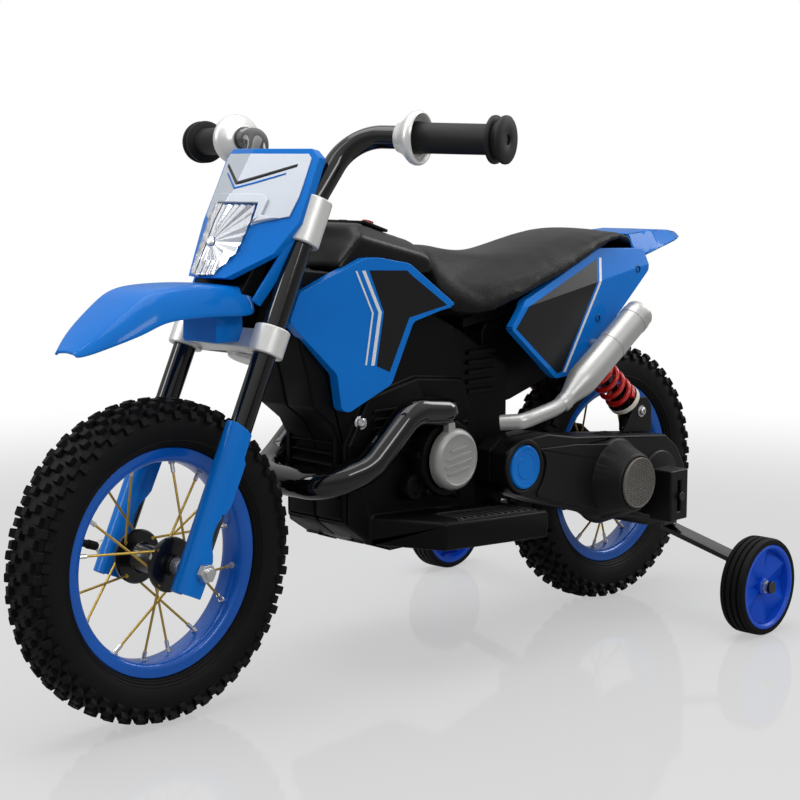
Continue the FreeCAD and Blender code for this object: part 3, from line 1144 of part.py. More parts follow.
def shocks():
    way = (shock_high - shock_low).normalize()
    span = (shock_high - shock_low).Length
    eye_hole = "shock_pin_radius + moving_gap + slide_clearance"
    half = "shock_eye_half_width"

    def eye(label, centre, hole):
        ring = rod(label + "_eye", "shock_eye_radius", f"2 * {half}",
                   at_track(centre, f"shock_track - {half}"), ACROSS)
        gap = rod(label + "_eye_hole", hole, f"4 * {half}", at_track(centre, f"shock_track - 2 * {half}"),
                  ACROSS)
        return ring, gap

    ring, gap = eye("shock_body", shock_high, "shock_pin_radius + running_clearance")
    tube = rod("shock_tube", "shock_tube_radius", "shock_tube_length - shock_eye_radius / 2",
               shock_high - way * val("shock_eye_radius / 2"), -way)
    plate = rod("shock_high_collar", "shock_collar_radius", "shock_collar",
                shock_high - way * val("shock_high_collar_reach"), way)
    bore = rod("shock_tube_bore", "shock_rod_radius + running_clearance",
               "shock_tube_length - shock_eye_radius",
               shock_high - way * val("shock_eye_radius + shock_collar"), -way)
    kept(pair("shock_bodies", cut("shock_body", fuse("shock_body_solid", ring, tube, plate), gap, bore)))
    ring, gap = eye("shock_rod", shock_low, eye_hole)
    plunger = rod("shock_plunger", "shock_rod_radius", "shock_rod_length - shock_eye_radius / 2",
                  shock_low + way * val("shock_eye_radius / 2"), way)
    plate = rod("shock_low_collar", "shock_collar_radius", "shock_collar",
                shock_low + way * val("shock_low_collar_reach"), -way)
    kept(pair("shock_rods", cut("shock_rod", fuse("shock_rod_solid", ring, plunger, plate), gap)))
    start = shock_low + way * val("shock_low_collar_reach + seat_gap")
    length = span - val("shock_low_collar_reach + shock_high_collar_reach + 2 * seat_gap")
    edges, points = spring_wire(start, way, length)
    print("least gap between spring turns", round(least_gap(points), 2))
    wire = Part.Wire(edges)
    first = wire.OrderedEdges[0]
    ring = Part.Wire(Part.makeCircle(val("spring_wire_radius"), first.valueAt(first.FirstParameter),
                                     first.tangentAt(first.FirstParameter)))
    coil = feature("shock_spring", wire.makePipeShell([ring], True, False))
    kept(pair("shock_springs", coil))
    wall = "bracket_wall"
    plates = []
    for number, track in enumerate((f"shock_track - {half} - {wall} - moving_gap",
                                    f"shock_track + {half} + moving_gap")):
        base = "(tyre_radius + shock_low_rise - bracket_half_length - shock_eye_radius)"
        cheek = block(f"bracket_cheek_{number}", "2 * bracket_half_length", wall,
                      "2 * bracket_half_length + shock_eye_radius",
                      point("-wheelbase / 2 + shock_low_reach - bracket_half_length", track, base))
        plates.append(cheek)
    foot = block("bracket_foot", "2 * bracket_half_length", f"2 * {half} + 2 * {wall} + 2 * moving_gap",
                 wall,
                 point("-wheelbase / 2 + shock_low_reach - bracket_half_length",
                       f"shock_track - {half} - {wall} - moving_gap",
                       "tyre_radius + shock_low_rise - bracket_half_length - shock_eye_radius"))
    bolt = rod("bracket_bolt", "shock_pin_radius", f"2 * {half} + 4 * {wall}",
               at_track(shock_low, f"shock_track - {half} - 2 * {wall}"), ACROSS)
    kept(pair("shock_mounts", fuse("shock_mount", *plates, foot, bolt)))


def stabilizers():
    centre_x = "-wheelbase / 2 + stab_reach"
    bar_end = "(stab_outer_track - stab_width - moving_gap - stab_sleeve_length)"
    outline = box_outline("bar_inner_track", bar_end, "bar_low", "bar_high", bar_shares)
    bar = padded("stabilizer_bar", "YZ_Plane", outline, "bar_width",
                 Placement(point(f"{centre_x} - bar_width / 2", "0", "0"), Rotation()))
    hub_spot = point(centre_x, f"{bar_end} - bar_thickness", "stab_radius")
    bolt = rod("stabilizer_bolt", "stab_bolt_radius",
               f"stab_outer_track + seat_gap - {bar_end} + bar_thickness", hub_spot,
               ACROSS)
    head = rod("stabilizer_bolt_head", "stab_bolt_head_radius", "stab_bolt_head",
               point(centre_x, "stab_outer_track + moving_gap", "stab_radius"), ACROSS)
    neck = rod("stabilizer_bolt_neck", "stab_bolt_radius", "moving_gap",
               point(centre_x, "stab_outer_track", "stab_radius"), ACROSS)
    sleeve = rod("stabilizer_sleeve", "stab_boss_radius - stab_web / 2",
                 "stab_sleeve_length",
                 point(centre_x, bar_end, "stab_radius"), ACROSS)
    slot_middle = "(slot_low + slot_high) / 2"
    stud = rod("stabilizer_stud", "stud_radius", "box_outer_track + 2 * seat_gap - bar_inner_track",
               point(centre_x, "bar_inner_track", slot_middle), ACROSS)
    stud_head = rod("stabilizer_stud_head", "stud_head_radius", "stab_bolt_head",
                    point(centre_x, "box_outer_track + seat_gap", slot_middle), ACROSS)
    kept(pair("stabilizer_arms", fuse("stabilizer_arm", bar, bolt, head, neck, sleeve, stud, stud_head)))
    half = "(bar_width / 2 + slide_clearance + box_wall)"
    box = block("bracket_box", f"2 * {half}", "box_outer_track - box_inner_track", "box_high - box_low",
                point(f"{centre_x} - {half}", "box_inner_track", "box_low"))
    plate_low = "box_low + box_wall"
    plate = block("bracket_plate", f"stab_reach + {half} - plate_reach", "plate_thickness",
                  "box_high - box_low - 2 * box_wall",
                  point("-wheelbase / 2 + plate_reach", "arm_outer_track + seat_gap", plate_low))
    rib = block("bracket_rib", half, "box_inner_track - arm_outer_track - seat_gap",
                "box_high - box_low - 2 * box_wall",
                point(centre_x, "arm_outer_track + seat_gap", plate_low))
    room = block("bracket_room", "bar_width + 2 * slide_clearance", "bar_thickness + 2 * slide_clearance",
                 "bar_high - box_low + overrun + seat_gap",
                 point(f"{centre_x} - bar_width / 2 - slide_clearance", "bar_inner_track - slide_clearance",
                       "box_low - overrun"))
    slot = block("bracket_slot", "slot_width", "box_outer_track - bar_inner_track + overrun",
                 "slot_high - slot_low",
                 point(f"{centre_x} - slot_width / 2", "bar_inner_track", "slot_low"))
    axle_hole = rod("bracket_axle_hole", "axle_radius + slide_clearance", "plate_thickness + 2 * overrun",
                    at_track(rear_axle, "arm_outer_track - overrun"), ACROSS)
    kept(pair("stabilizer_brackets", cut("stabilizer_bracket", fuse("bracket_solid", box, plate, rib), room,
                                         slot, axle_hole)))
    inner, outer = "(stab_outer_track - stab_width)", "stab_outer_track"
    groove, depth = "stab_groove_width", "(stab_radius - stab_groove_depth)"
    section = [(inner, "stab_hub_radius + seat_gap"), (inner, "stab_radius")]
    for share in groove_shares:
        middle = f"({inner} + {share} * stab_width)"
        section += [(f"{middle} - {groove} / 2", "stab_radius"), (f"{middle} - {groove} / 2", depth),
                    (f"{middle} + {groove} / 2", depth), (f"{middle} + {groove} / 2", "stab_radius")]
    section += [(outer, "stab_radius"), (outer, "stab_hub_radius + seat_gap")]
    place = Placement(point(centre_x, "0", "stab_radius"), Rotation())
    left_tyre = kept(turned("stabilizer_tyre_left", section, place))
    kept(mirrored("stabilizer_tyre_right", left_tyre))
    bore = "stab_bolt_radius + running_clearance"
    web_low = f"{outer} - stab_rim - stab_web"
    hub = turned("stabilizer_hub_core",
                 [(inner, bore), (inner, "stab_boss_radius"), (web_low, "stab_boss_radius"),
                  (web_low, "stab_hub_radius - stab_rim"), (inner, "stab_hub_radius - stab_rim"),
                  (inner, "stab_hub_radius"), (outer, "stab_hub_radius"),
                  (outer, "stab_hub_radius - stab_rim"),
                  (f"{outer} - stab_rim", "stab_hub_radius - stab_rim"),
                  (f"{outer} - stab_rim", "stab_boss_radius"),
                  (outer, "stab_boss_radius"), (outer, bore)], place)
    blades = []
    count = 12
    for number in range(count):
        frame = Placement(point(centre_x, "0", "stab_radius"), Rotation(ACROSS, 360 * number / count))
        blades.append(block(f"fan_blade_{number}", "fan_blade_width", "stab_rim - seat_gap",
                            "stab_hub_radius - stab_boss_radius",
                            point("-fan_blade_width / 2", f"{outer} - stab_rim",
                                  "stab_boss_radius - seat_gap"), frame))
    left_hub = kept(fuse("stabilizer_hub_left", hub, *blades))
    kept(mirrored("stabilizer_hub_right", left_hub))


def pedal():
    hinge = foot_frame.multiply(Placement(point("pedal_reach", "0", "footrest_thickness + lug_radius"),
                                          Rotation(ACROSS, -val("pedal_tilt"))))
    plate = block("pedal_plate", "pedal_length", "pedal_width", "pedal_thickness",
                  point("0", "-pedal_track - pedal_width", "pedal_pin_radius - pedal_thickness / 2"), hinge)
    knuckle = rod("pedal_knuckle", "lug_radius - moving_gap", "pedal_width",
                  point("0", "-pedal_track - pedal_width", "0"), ACROSS, hinge)
    reach = "(lug_width + moving_gap)"
    pin = rod("pedal_pin", "pedal_pin_radius", f"pedal_width + 2 * {reach}",
              point("0", f"-pedal_track - pedal_width - {reach}", "0"), ACROSS, hinge)
    kept(fuse("accelerator_pedal", plate, knuckle, pin))


wheels_and_axles()
idler_place = drive()
swing_arm(idler_place)
steering()
handlebars()
fork_guard()
front_fender()
front_mask()
body_shell()
battery()
tank_cover()
panels()
seat()
tail_fender()
exhausts()
header_pipe()
shocks()
stabilizers()
pedal()
doc.recompute()

for item in doc.Objects:
    if "Invalid" in item.State or "Error" in item.State:
        raise RuntimeError(f"{item.Name} did not recompute: {item.State}")
os.makedirs("parts", exist_ok=True)
for node in nodes:
    shape = node.Shape
    if shape.isNull() or not shape.isValid() or not shape.Solids:
        raise RuntimeError(f"{node.Label} has no valid solid")
    shape.exportStep(f"parts/{node.Label}.step")
print(len(nodes), "nodes written")
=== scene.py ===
# Kids electric motorbike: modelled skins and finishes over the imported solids. Metres, x ahead, y left, z up.
import json
import math

import bmesh
import bpy
from mathutils import Matrix, Vector


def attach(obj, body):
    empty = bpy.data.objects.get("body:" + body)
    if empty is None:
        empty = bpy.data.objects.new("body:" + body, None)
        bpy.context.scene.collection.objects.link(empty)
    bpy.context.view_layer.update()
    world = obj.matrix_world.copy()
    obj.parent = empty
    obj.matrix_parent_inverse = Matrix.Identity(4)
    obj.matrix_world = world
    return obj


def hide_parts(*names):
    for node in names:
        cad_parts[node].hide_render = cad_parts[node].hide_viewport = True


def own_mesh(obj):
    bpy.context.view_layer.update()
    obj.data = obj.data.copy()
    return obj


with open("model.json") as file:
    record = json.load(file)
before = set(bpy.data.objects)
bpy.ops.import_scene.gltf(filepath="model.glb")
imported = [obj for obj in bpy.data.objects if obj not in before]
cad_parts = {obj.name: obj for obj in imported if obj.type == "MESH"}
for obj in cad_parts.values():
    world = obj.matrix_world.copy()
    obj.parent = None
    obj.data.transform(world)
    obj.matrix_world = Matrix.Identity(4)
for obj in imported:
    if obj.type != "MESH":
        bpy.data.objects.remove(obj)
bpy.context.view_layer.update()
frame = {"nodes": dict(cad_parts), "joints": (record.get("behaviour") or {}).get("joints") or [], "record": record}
scene = bpy.context.scene
joints = {joint["name"]: joint for joint in frame["joints"]}
bodyOf = {node: body for body, members in frame["record"]["behaviour"]["bodies"].items() for node in members}
frontAxle = Vector(joints["front_wheel_spin"]["pos_m"])
rearAxle = Vector(joints["rear_wheel_spin"]["pos_m"])
swingPivot = Vector(joints["swing"]["pos_m"])
motorSpot = Vector(joints["pinion_spin"]["pos_m"])
steerAxis = Vector(joints["steer"]["axis"])
steerFrame = Matrix.Translation(frontAxle) @ Matrix.Rotation(math.atan2(steerAxis.x, steerAxis.z), 4, "Y")


def allOf(bm):
    return bm.verts[:] + bm.edges[:] + bm.faces[:]


def finishPiece(name, bm, finish, stands=(), body=None, edge=0.0, wall=0.0, levels=0, sharp=38,
                both=False, facing=None, segments=2):
    if both:  # the right hand one is the left one mirrored
        bmesh.ops.mirror(bm, geom=allOf(bm), matrix=Matrix.Identity(4), merge_dist=0.000001, axis="Y")
    bmesh.ops.remove_doubles(bm, verts=bm.verts[:], dist=0.000002)
    bmesh.ops.recalc_face_normals(bm, faces=bm.faces[:])
    if facing is not None and sum(face.normal.dot(facing) * face.calc_area() for face in bm.faces) < 0:
        bmesh.ops.reverse_faces(bm, faces=bm.faces[:])
    mesh = bpy.data.meshes.new(name)
    bm.to_mesh(mesh)
    bm.free()
    mesh.shade_smooth()
    if not levels:
        mesh.set_sharp_from_angle(angle=math.radians(sharp))
    for item in finish if isinstance(finish, (list, tuple)) else [finish]:
        mesh.materials.append(item)
    piece = bpy.data.objects.new(name, mesh)
    scene.collection.objects.link(piece)
    if wall:
        shell = piece.modifiers.new("wall", "SOLIDIFY")
        shell.thickness = wall
        shell.offset = -1
        shell.use_even_offset = True
    if levels:
        smooth = piece.modifiers.new("smooth", "SUBSURF")
        smooth.levels = smooth.render_levels = levels
    if edge:
        rounding = piece.modifiers.new("edges", "BEVEL")
        rounding.width = edge
        rounding.segments = segments
        rounding.limit_method = "ANGLE"
        rounding.angle_limit = math.radians(sharp)
        rounding.use_clamp_overlap = False
        rounding.harden_normals = True
    stands = [stands] if isinstance(stands, str) else list(stands)
    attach(piece, body or bodyOf[stands[0]])
    if stands:
        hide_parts(*stands)
    return piece


def solidCopy(node):
    bm = bmesh.new()  # a merged copy of a solid, its flat faces made whole again
    bm.from_mesh(frame["nodes"][node].data)
    bmesh.ops.remove_doubles(bm, verts=bm.verts[:], dist=0.00001)
    bmesh.ops.dissolve_limit(bm, angle_limit=math.radians(0.6), verts=bm.verts[:], edges=bm.edges[:])
    return bm


def softened(name, node, finish, edge):
    finishPiece(name, solidCopy(node), finish, node, edge=edge)


def addChain(bm, points, closed=False):
    verts = [bm.verts.new(point) for point in points]
    pairs = list(zip(verts, verts[1:])) + ([(verts[-1], verts[0])] if closed else [])
    return [bm.edges.new(pair) for pair in pairs]


def addFace(bm, points):
    return bm.faces.new([bm.verts.new(point) for point in points])


def addSkin(bm, rings, closed=False):
    chains = [addChain(bm, ring, closed) for ring in rings]
    for near, far in zip(chains, chains[1:]):
        bmesh.ops.bridge_loops(bm, edges=near + far)


def addSpun(bm, profile, centre, axis, closed=False, steps=96):
    # profile points are (along the axis, radius)
    axis = Vector(axis).normalized()
    side = axis.orthogonal().normalized()
    edges = addChain(bm, [centre + axis * along + side * radius for along, radius in profile], closed)
    verts = list({vert for line in edges for vert in line.verts})
    bmesh.ops.spin(bm, geom=verts + edges, cent=centre, axis=axis, angle=2 * math.pi, steps=steps,
                   use_merge=True)


def addRod(bm, start, end, radius, tip=None, sides=12):
    way = end - start
    turn = way.to_track_quat("Z", "Y").to_matrix().to_4x4()
    place = Matrix.Translation((start + end) / 2) @ turn
    bmesh.ops.create_cone(bm, cap_ends=True, segments=sides, radius1=radius, depth=way.length,
                          radius2=radius if tip is None else tip, matrix=place)


def addBlock(bm, place, size, taper=1.0):
    # a block standing on its place, its top drawn in by the taper
    shape = place @ Matrix.Translation((0, 0, size[2] / 2)) @ Matrix.Diagonal((*size, 1))
    made = bmesh.ops.create_cube(bm, size=1, matrix=shape)
    for vert in made["verts"]:
        local = shape.inverted() @ vert.co
        if local.z > 0:
            vert.co = shape @ Vector((local.x * taper, local.y * taper, local.z))


def newVerts(made):
    return [item for item in made["geom"] if isinstance(item, bmesh.types.BMVert)]


def thicken(bm, faces, depth):
    made = bmesh.ops.extrude_face_region(bm, geom=faces)
    bmesh.ops.translate(bm, verts=newVerts(made), vec=depth)


def tubeAlong(points, radius, sides):
    # a smooth tube along control points, read back as a mesh
    curve = bpy.data.curves.new("route", "CURVE")
    curve.dimensions = "3D"
    curve.bevel_depth = radius
    curve.bevel_resolution = sides
    curve.use_fill_caps = True
    curve.resolution_u = 10
    spline = curve.splines.new("NURBS")
    spline.points.add(len(points) - 1)
    for index, point in enumerate(points):
        spline.points[index].co = (*point, 1)
    spline.order_u = 3
    spline.use_endpoint_u = True
    holder = bpy.data.objects.new("route", curve)
    scene.collection.objects.link(holder)
    bpy.context.view_layer.update()
    bm = bmesh.new()
    mesh = bpy.data.meshes.new_from_object(holder.evaluated_get(bpy.context.evaluated_depsgraph_get()))
    bm.from_mesh(mesh)
    bpy.data.objects.remove(holder)
    bpy.data.curves.remove(curve)
    bpy.data.meshes.remove(mesh)
    return bm


def settled(piece):
    # the modifiers' result becomes the mesh
    bpy.context.view_layer.update()
    shown = piece.evaluated_get(bpy.context.evaluated_depsgraph_get())
    mesh = bpy.data.meshes.new_from_object(shown)
    piece.modifiers.clear()
    piece.data = mesh


def remeshed(name, bm, voxel):
    # an even skin over the whole shape
    mesh = bpy.data.meshes.new(name)
    bm.to_mesh(mesh)
    bm.free()
    piece = bpy.data.objects.new(name, mesh)
    scene.collection.objects.link(piece)
    remesh = piece.modifiers.new("remesh", "REMESH")
    remesh.mode = "VOXEL"
    remesh.voxel_size = voxel
    settled(piece)
    return piece


def smoothedCopy(piece, rounds):
    # takes the place of the piece, with its bumps worn down
    bm = bmesh.new()
    bm.from_mesh(piece.data)
    bpy.data.objects.remove(piece)
    for _ in range(rounds):
        bmesh.ops.smooth_vert(bm, verts=bm.verts[:], factor=0.5, use_axis_x=True, use_axis_y=True,
                              use_axis_z=True)
    return bm


# Shared finish effects, each a node group with its own values in every material
def put(tree, kind, inputs=(), **settings):
    node = tree.nodes.new(kind)
    for key, value in settings.items():
        setattr(node, key, value)
    for key, value in dict(inputs).items():
        if isinstance(value, bpy.types.NodeSocket):
            tree.links.new(value, node.inputs[key])
        else:
            node.inputs[key].default_value = value
    return node


def newEffect(name, inputs, outputs):
    tree = bpy.data.node_groups.new(name, "ShaderNodeTree")
    for label, kind, value in inputs:
        socket = tree.interface.new_socket(label, in_out="INPUT", socket_type=kind)
        if value is not None:
            socket.default_value = value
    for label, kind in outputs:
        tree.interface.new_socket(label, in_out="OUTPUT", socket_type=kind)
    return tree, tree.nodes.new("NodeGroupInput").outputs, tree.nodes.new("NodeGroupOutput").inputs


def blendColour(tree, share, first, second):
    mix = tree.nodes.new("ShaderNodeMix")
    mix.data_type = "RGBA"
    for index, socket in ((0, share), (6, first), (7, second)):
        tree.links.new(socket, mix.inputs[index])
    return mix.outputs[2]


def grainEffect():
    # moulded or painted surface: fine grain, slow tone drift and patches of polish
    tree, given, out = newEffect("surfaceGrain", [
        ("Vector", "NodeSocketVector", None), ("Colour", "NodeSocketColor", (1, 1, 1, 1)),
        ("Deep Colour", "NodeSocketColor", (0, 0, 0, 1)), ("Grain Scale", "NodeSocketFloat", 1400),
        ("Patch Scale", "NodeSocketFloat", 14), ("Roughness", "NodeSocketFloat", 0.4),
        ("Roughness Drift", "NodeSocketFloat", 0.08)],
        [("Color", "NodeSocketColor"), ("Roughness", "NodeSocketFloat"), ("Height", "NodeSocketFloat")])
    fine = put(tree, "ShaderNodeTexNoise",
               {"Vector": given["Vector"], "Scale": given["Grain Scale"], "Detail": 2})
    slow = put(tree, "ShaderNodeTexNoise",
               {"Vector": given["Vector"], "Scale": given["Patch Scale"], "Detail": 4})
    spread = put(tree, "ShaderNodeMapRange", {"Value": slow.outputs["Fac"], "From Min": 0.3, "From Max": 0.7})
    tone = blendColour(tree, spread.outputs["Result"], given["Colour"], given["Deep Colour"])
    shift = put(tree, "ShaderNodeMath", {0: spread.outputs["Result"], 1: given["Roughness Drift"]},
                operation="MULTIPLY")
    rough = put(tree, "ShaderNodeMath", {0: given["Roughness"], 1: shift.outputs[0]}, operation="ADD",
                use_clamp=True)
    tree.links.new(tone, out["Color"])
    tree.links.new(rough.outputs[0], out["Roughness"])
    tree.links.new(fine.outputs["Fac"], out["Height"])
    return tree


def dustEffect():
    # a thin film that settles on faces that look up
    tree, given, out = newEffect("settledDust", [
        ("Vector", "NodeSocketVector", None), ("Colour", "NodeSocketColor", (1, 1, 1, 1)),
        ("Dust Colour", "NodeSocketColor", (0.3, 0.28, 0.25, 1)), ("Scale", "NodeSocketFloat", 60),
        ("Amount", "NodeSocketFloat", 0.2)], [("Color", "NodeSocketColor")])
    where = tree.nodes.new("ShaderNodeNewGeometry")
    split = put(tree, "ShaderNodeSeparateXYZ", {0: where.outputs["Normal"]})
    upward = put(tree, "ShaderNodeMapRange", {"Value": split.outputs["Z"], "From Min": -0.2, "From Max": 1})
    speck = put(tree, "ShaderNodeTexNoise", {"Vector": given["Vector"], "Scale": given["Scale"], "Detail": 6,
                                             "Roughness": 0.7})
    patch = put(tree, "ShaderNodeMapRange",
                {"Value": speck.outputs["Fac"], "From Min": 0.42, "From Max": 0.75})
    both = put(tree, "ShaderNodeMath", {0: upward.outputs[0], 1: patch.outputs[0]}, operation="MULTIPLY")
    mask = put(tree, "ShaderNodeMath", {0: both.outputs[0], 1: given["Amount"]}, operation="MULTIPLY",
               use_clamp=True)
    tree.links.new(blendColour(tree, mask.outputs[0], given["Colour"], given["Dust Colour"]), out["Color"])
    return tree


def hideEffect():
    # pressed seat cover: small cells with softened borders
    tree, given, out = newEffect("pressedHide", [
        ("Vector", "NodeSocketVector", None), ("Cell Scale", "NodeSocketFloat", 420)],
        [("Height", "NodeSocketFloat")])
    bend = put(tree, "ShaderNodeTexNoise", {"Vector": given["Vector"], "Scale": 90, "Detail": 3})
    wander = put(tree, "ShaderNodeVectorMath", {0: bend.outputs["Color"], 1: (0.004, 0.004, 0.004)},
                 operation="MULTIPLY")
    place = put(tree, "ShaderNodeVectorMath", {0: given["Vector"], 1: wander.outputs[0]}, operation="ADD")
    cells = put(tree, "ShaderNodeTexVoronoi", {"Vector": place.outputs[0], "Scale": given["Cell Scale"]},
                feature="DISTANCE_TO_EDGE")
    soft = put(tree, "ShaderNodeMapRange",
               {"Value": cells.outputs["Distance"], "From Min": 0.0, "From Max": 0.22},
               interpolation_type="SMOOTHSTEP")
    tree.links.new(soft.outputs[0], out["Height"])
    return tree


surfaceGrain = grainEffect()
settledDust = dustEffect()
pressedHide = hideEffect()


def newFinish(name, colour, deep, rough, metal=0.0, coat=0.0, grain=1400, patch=14, drift=0.08, bump=0.0001,
              dust=0.0, dustColour=(0.3, 0.28, 0.25), sheen=0.0, hide=0, specular=0.5, coatRough=0.05):
    finish = bpy.data.materials.new(name)
    finish.use_nodes = True
    tree = finish.node_tree
    shader = tree.nodes["Principled BSDF"]
    where = tree.nodes.new("ShaderNodeTexCoord").outputs["Object"]
    surface = put(tree, "ShaderNodeGroup", {
        "Vector": where, "Colour": (*colour, 1), "Deep Colour": (*deep, 1), "Grain Scale": grain,
        "Patch Scale": patch, "Roughness": rough, "Roughness Drift": drift}, node_tree=surfaceGrain)
    colourOut = surface.outputs["Color"]
    if dust:
        film = put(tree, "ShaderNodeGroup", {"Vector": where, "Colour": colourOut, "Amount": dust,
                                             "Dust Colour": (*dustColour, 1)}, node_tree=settledDust)
        colourOut = film.outputs["Color"]
    tree.links.new(colourOut, shader.inputs["Base Color"])
    tree.links.new(surface.outputs["Roughness"], shader.inputs["Roughness"])
    height = surface.outputs["Height"]
    if hide:
        cells = put(tree, "ShaderNodeGroup", {"Vector": where, "Cell Scale": hide}, node_tree=pressedHide)
        height = cells.outputs["Height"]
    relief = put(tree, "ShaderNodeBump", {"Height": height, "Distance": bump, "Strength": 0.6})
    tree.links.new(relief.outputs["Normal"], shader.inputs["Normal"])
    for label, value in (("Metallic", metal), ("Coat Weight", coat), ("Coat Roughness", coatRough),
                         ("Specular IOR Level", specular), ("Sheen Weight", sheen)):
        shader.inputs[label].default_value = value
    return finish


bluePlastic = newFinish("bluePlastic", (0.002, 0.16, 0.58), (0.0015, 0.142, 0.53), 0.24, grain=500,
                        bump=0.00002, dust=0.01, specular=0.06, coat=0.25, coatRough=0.07)
blueRim = newFinish("blueRim", (0.003, 0.105, 0.5), (0.002, 0.085, 0.42), 0.16, metal=0.1, coat=0.25,
                    grain=900, bump=0.00002, specular=0.3)
bodyBlack = newFinish("bodyBlack", (0.0032, 0.0032, 0.0034), (0.0022, 0.0022, 0.0024), 0.36, grain=1700,
                      drift=0.12, bump=0.00006, dust=0.004, specular=0.1)
coverBlack = newFinish("coverBlack", (0.004, 0.004, 0.0042), (0.0028, 0.0028, 0.003), 0.27, grain=1500,
                       bump=0.00003, dust=0.006, specular=0.2)
stepBlack = newFinish("stepBlack", (0.009, 0.009, 0.0088), (0.006, 0.006, 0.006), 0.48, grain=1100,
                      bump=0.00012, dust=0.03, specular=0.28)
glossBlack = newFinish("glossBlack", (0.003, 0.003, 0.003), (0.002, 0.002, 0.002), 0.08, coat=0.3, grain=700,
                       drift=0.05, bump=0.00001, specular=0.4)
silverPaint = newFinish("silverPaint", (0.76, 0.76, 0.74), (0.68, 0.68, 0.665), 0.3, metal=0.5, grain=2600,
                        bump=0.00002, dust=0.02)
rubberBlack = newFinish("rubberBlack", (0.0046, 0.0044, 0.0044), (0.0032, 0.003, 0.003), 0.52, grain=800,
                        drift=0.2, bump=0.0001, dust=0.03, dustColour=(0.05, 0.047, 0.045), specular=0.16)
gripBlack = newFinish("gripBlack", (0.007, 0.007, 0.007), (0.005, 0.005, 0.005), 0.5, grain=1300, bump=0.0001,
                      specular=0.3)
spokeBrass = newFinish("spokeBrass", (0.62, 0.42, 0.09), (0.5, 0.33, 0.06), 0.3, metal=0.8, grain=1500,
                       bump=0.00002)
zincSteel = newFinish("zincSteel", (0.66, 0.66, 0.67), (0.5, 0.5, 0.52), 0.26, metal=0.9, grain=1800,
                      bump=0.00003, drift=0.15)
springRed = newFinish("springRed", (0.56, 0.012, 0.008), (0.44, 0.008, 0.006), 0.25, coat=0.3, grain=900,
                      bump=0.00002)
ivoryNylon = newFinish("ivoryNylon", (0.68, 0.66, 0.58), (0.6, 0.58, 0.5), 0.42, grain=900, bump=0.00003,
                       dust=0.06)
gearNylon = newFinish("gearNylon", (0.72, 0.71, 0.66), (0.62, 0.61, 0.56), 0.4, grain=900, bump=0.00003)
seatHide = newFinish("seatHide", (0.0068, 0.0064, 0.006), (0.005, 0.0048, 0.0046), 0.29, patch=9, bump=0.0002,
                     hide=520, sheen=0.01, dust=0.01, specular=0.14)
grilleGrey = newFinish("grilleGrey", (0.17, 0.16, 0.145), (0.12, 0.11, 0.1), 0.42, grain=1200, bump=0.00004,
                       metal=0.3)
batteryGrey = newFinish("batteryGrey", (0.05, 0.055, 0.06), (0.035, 0.04, 0.045), 0.5, grain=1200,
                        bump=0.00006)
buttonRed = newFinish("buttonRed", (0.55, 0.02, 0.015), (0.45, 0.014, 0.01), 0.3, coat=0.3, grain=900,
                      bump=0.00002)
hubBlack = newFinish("hubBlack", (0.0035, 0.0035, 0.0038), (0.0025, 0.0025, 0.0027), 0.18, coat=0.2,
                     grain=900, bump=0.00003, specular=0.35)
hubBlue = newFinish("hubBlue", (0.004, 0.085, 0.62), (0.0035, 0.07, 0.54), 0.3, grain=900, bump=0.00003,
                    specular=0.3)
decalPale = newFinish("decalPale", (0.72, 0.74, 0.78), (0.64, 0.66, 0.7), 0.3, grain=900, bump=0.00001)
# black print, also used as painted shade in the side panel screw holes
decalBlackAndHoleShade = newFinish("decalBlackAndHoleShade", (0.006, 0.006, 0.007), (0.004, 0.004, 0.005), 0.3, grain=900,
                       bump=0.00001, specular=0.3)
mirrorCup = newFinish("mirrorCup", (0.86, 0.86, 0.87), (0.74, 0.74, 0.77), 0.12, metal=0.9, grain=500,
                      drift=0.1, bump=0.00002)
# darker copy of the mirror finish: painted shade for dark surroundings mirrored in the reflector's flutes
mirrorPaintedShade = newFinish("mirrorPaintedShade", (0.5, 0.51, 0.53), (0.4, 0.41, 0.43), 0.22, metal=0.9, grain=500,
                        drift=0.1, bump=0.00002)
maskSilver = newFinish("maskSilver", (0.56, 0.6, 0.66), (0.5, 0.54, 0.6), 0.34, metal=0.3, grain=2600,
                       bump=0.00002)
armBlack = newFinish("armBlack", (0.0056, 0.0056, 0.0056), (0.004, 0.004, 0.0042), 0.36, grain=1700,
                     drift=0.12, bump=0.00005, dust=0.012, specular=0.22)
canSilver = newFinish("canSilver", (0.5, 0.5, 0.49), (0.42, 0.42, 0.41), 0.3, metal=0.6, grain=2600,
                      bump=0.00002)
capGrey = newFinish("capGrey", (0.36, 0.36, 0.35), (0.29, 0.29, 0.28), 0.36, metal=0.3, grain=2200,
                    bump=0.00003, dust=0.02)
lampClear = newFinish("lampClear", (0.97, 0.98, 1.0), (0.93, 0.95, 0.98), 0.02, grain=500, drift=0.03,
                      bump=0.00001)
lensInputs = lampClear.node_tree.nodes["Principled BSDF"].inputs
lensInputs["Transmission Weight"].default_value = 1.0
lensInputs["IOR"].default_value = 1.2
print("finishes ready:", len(bpy.data.materials))


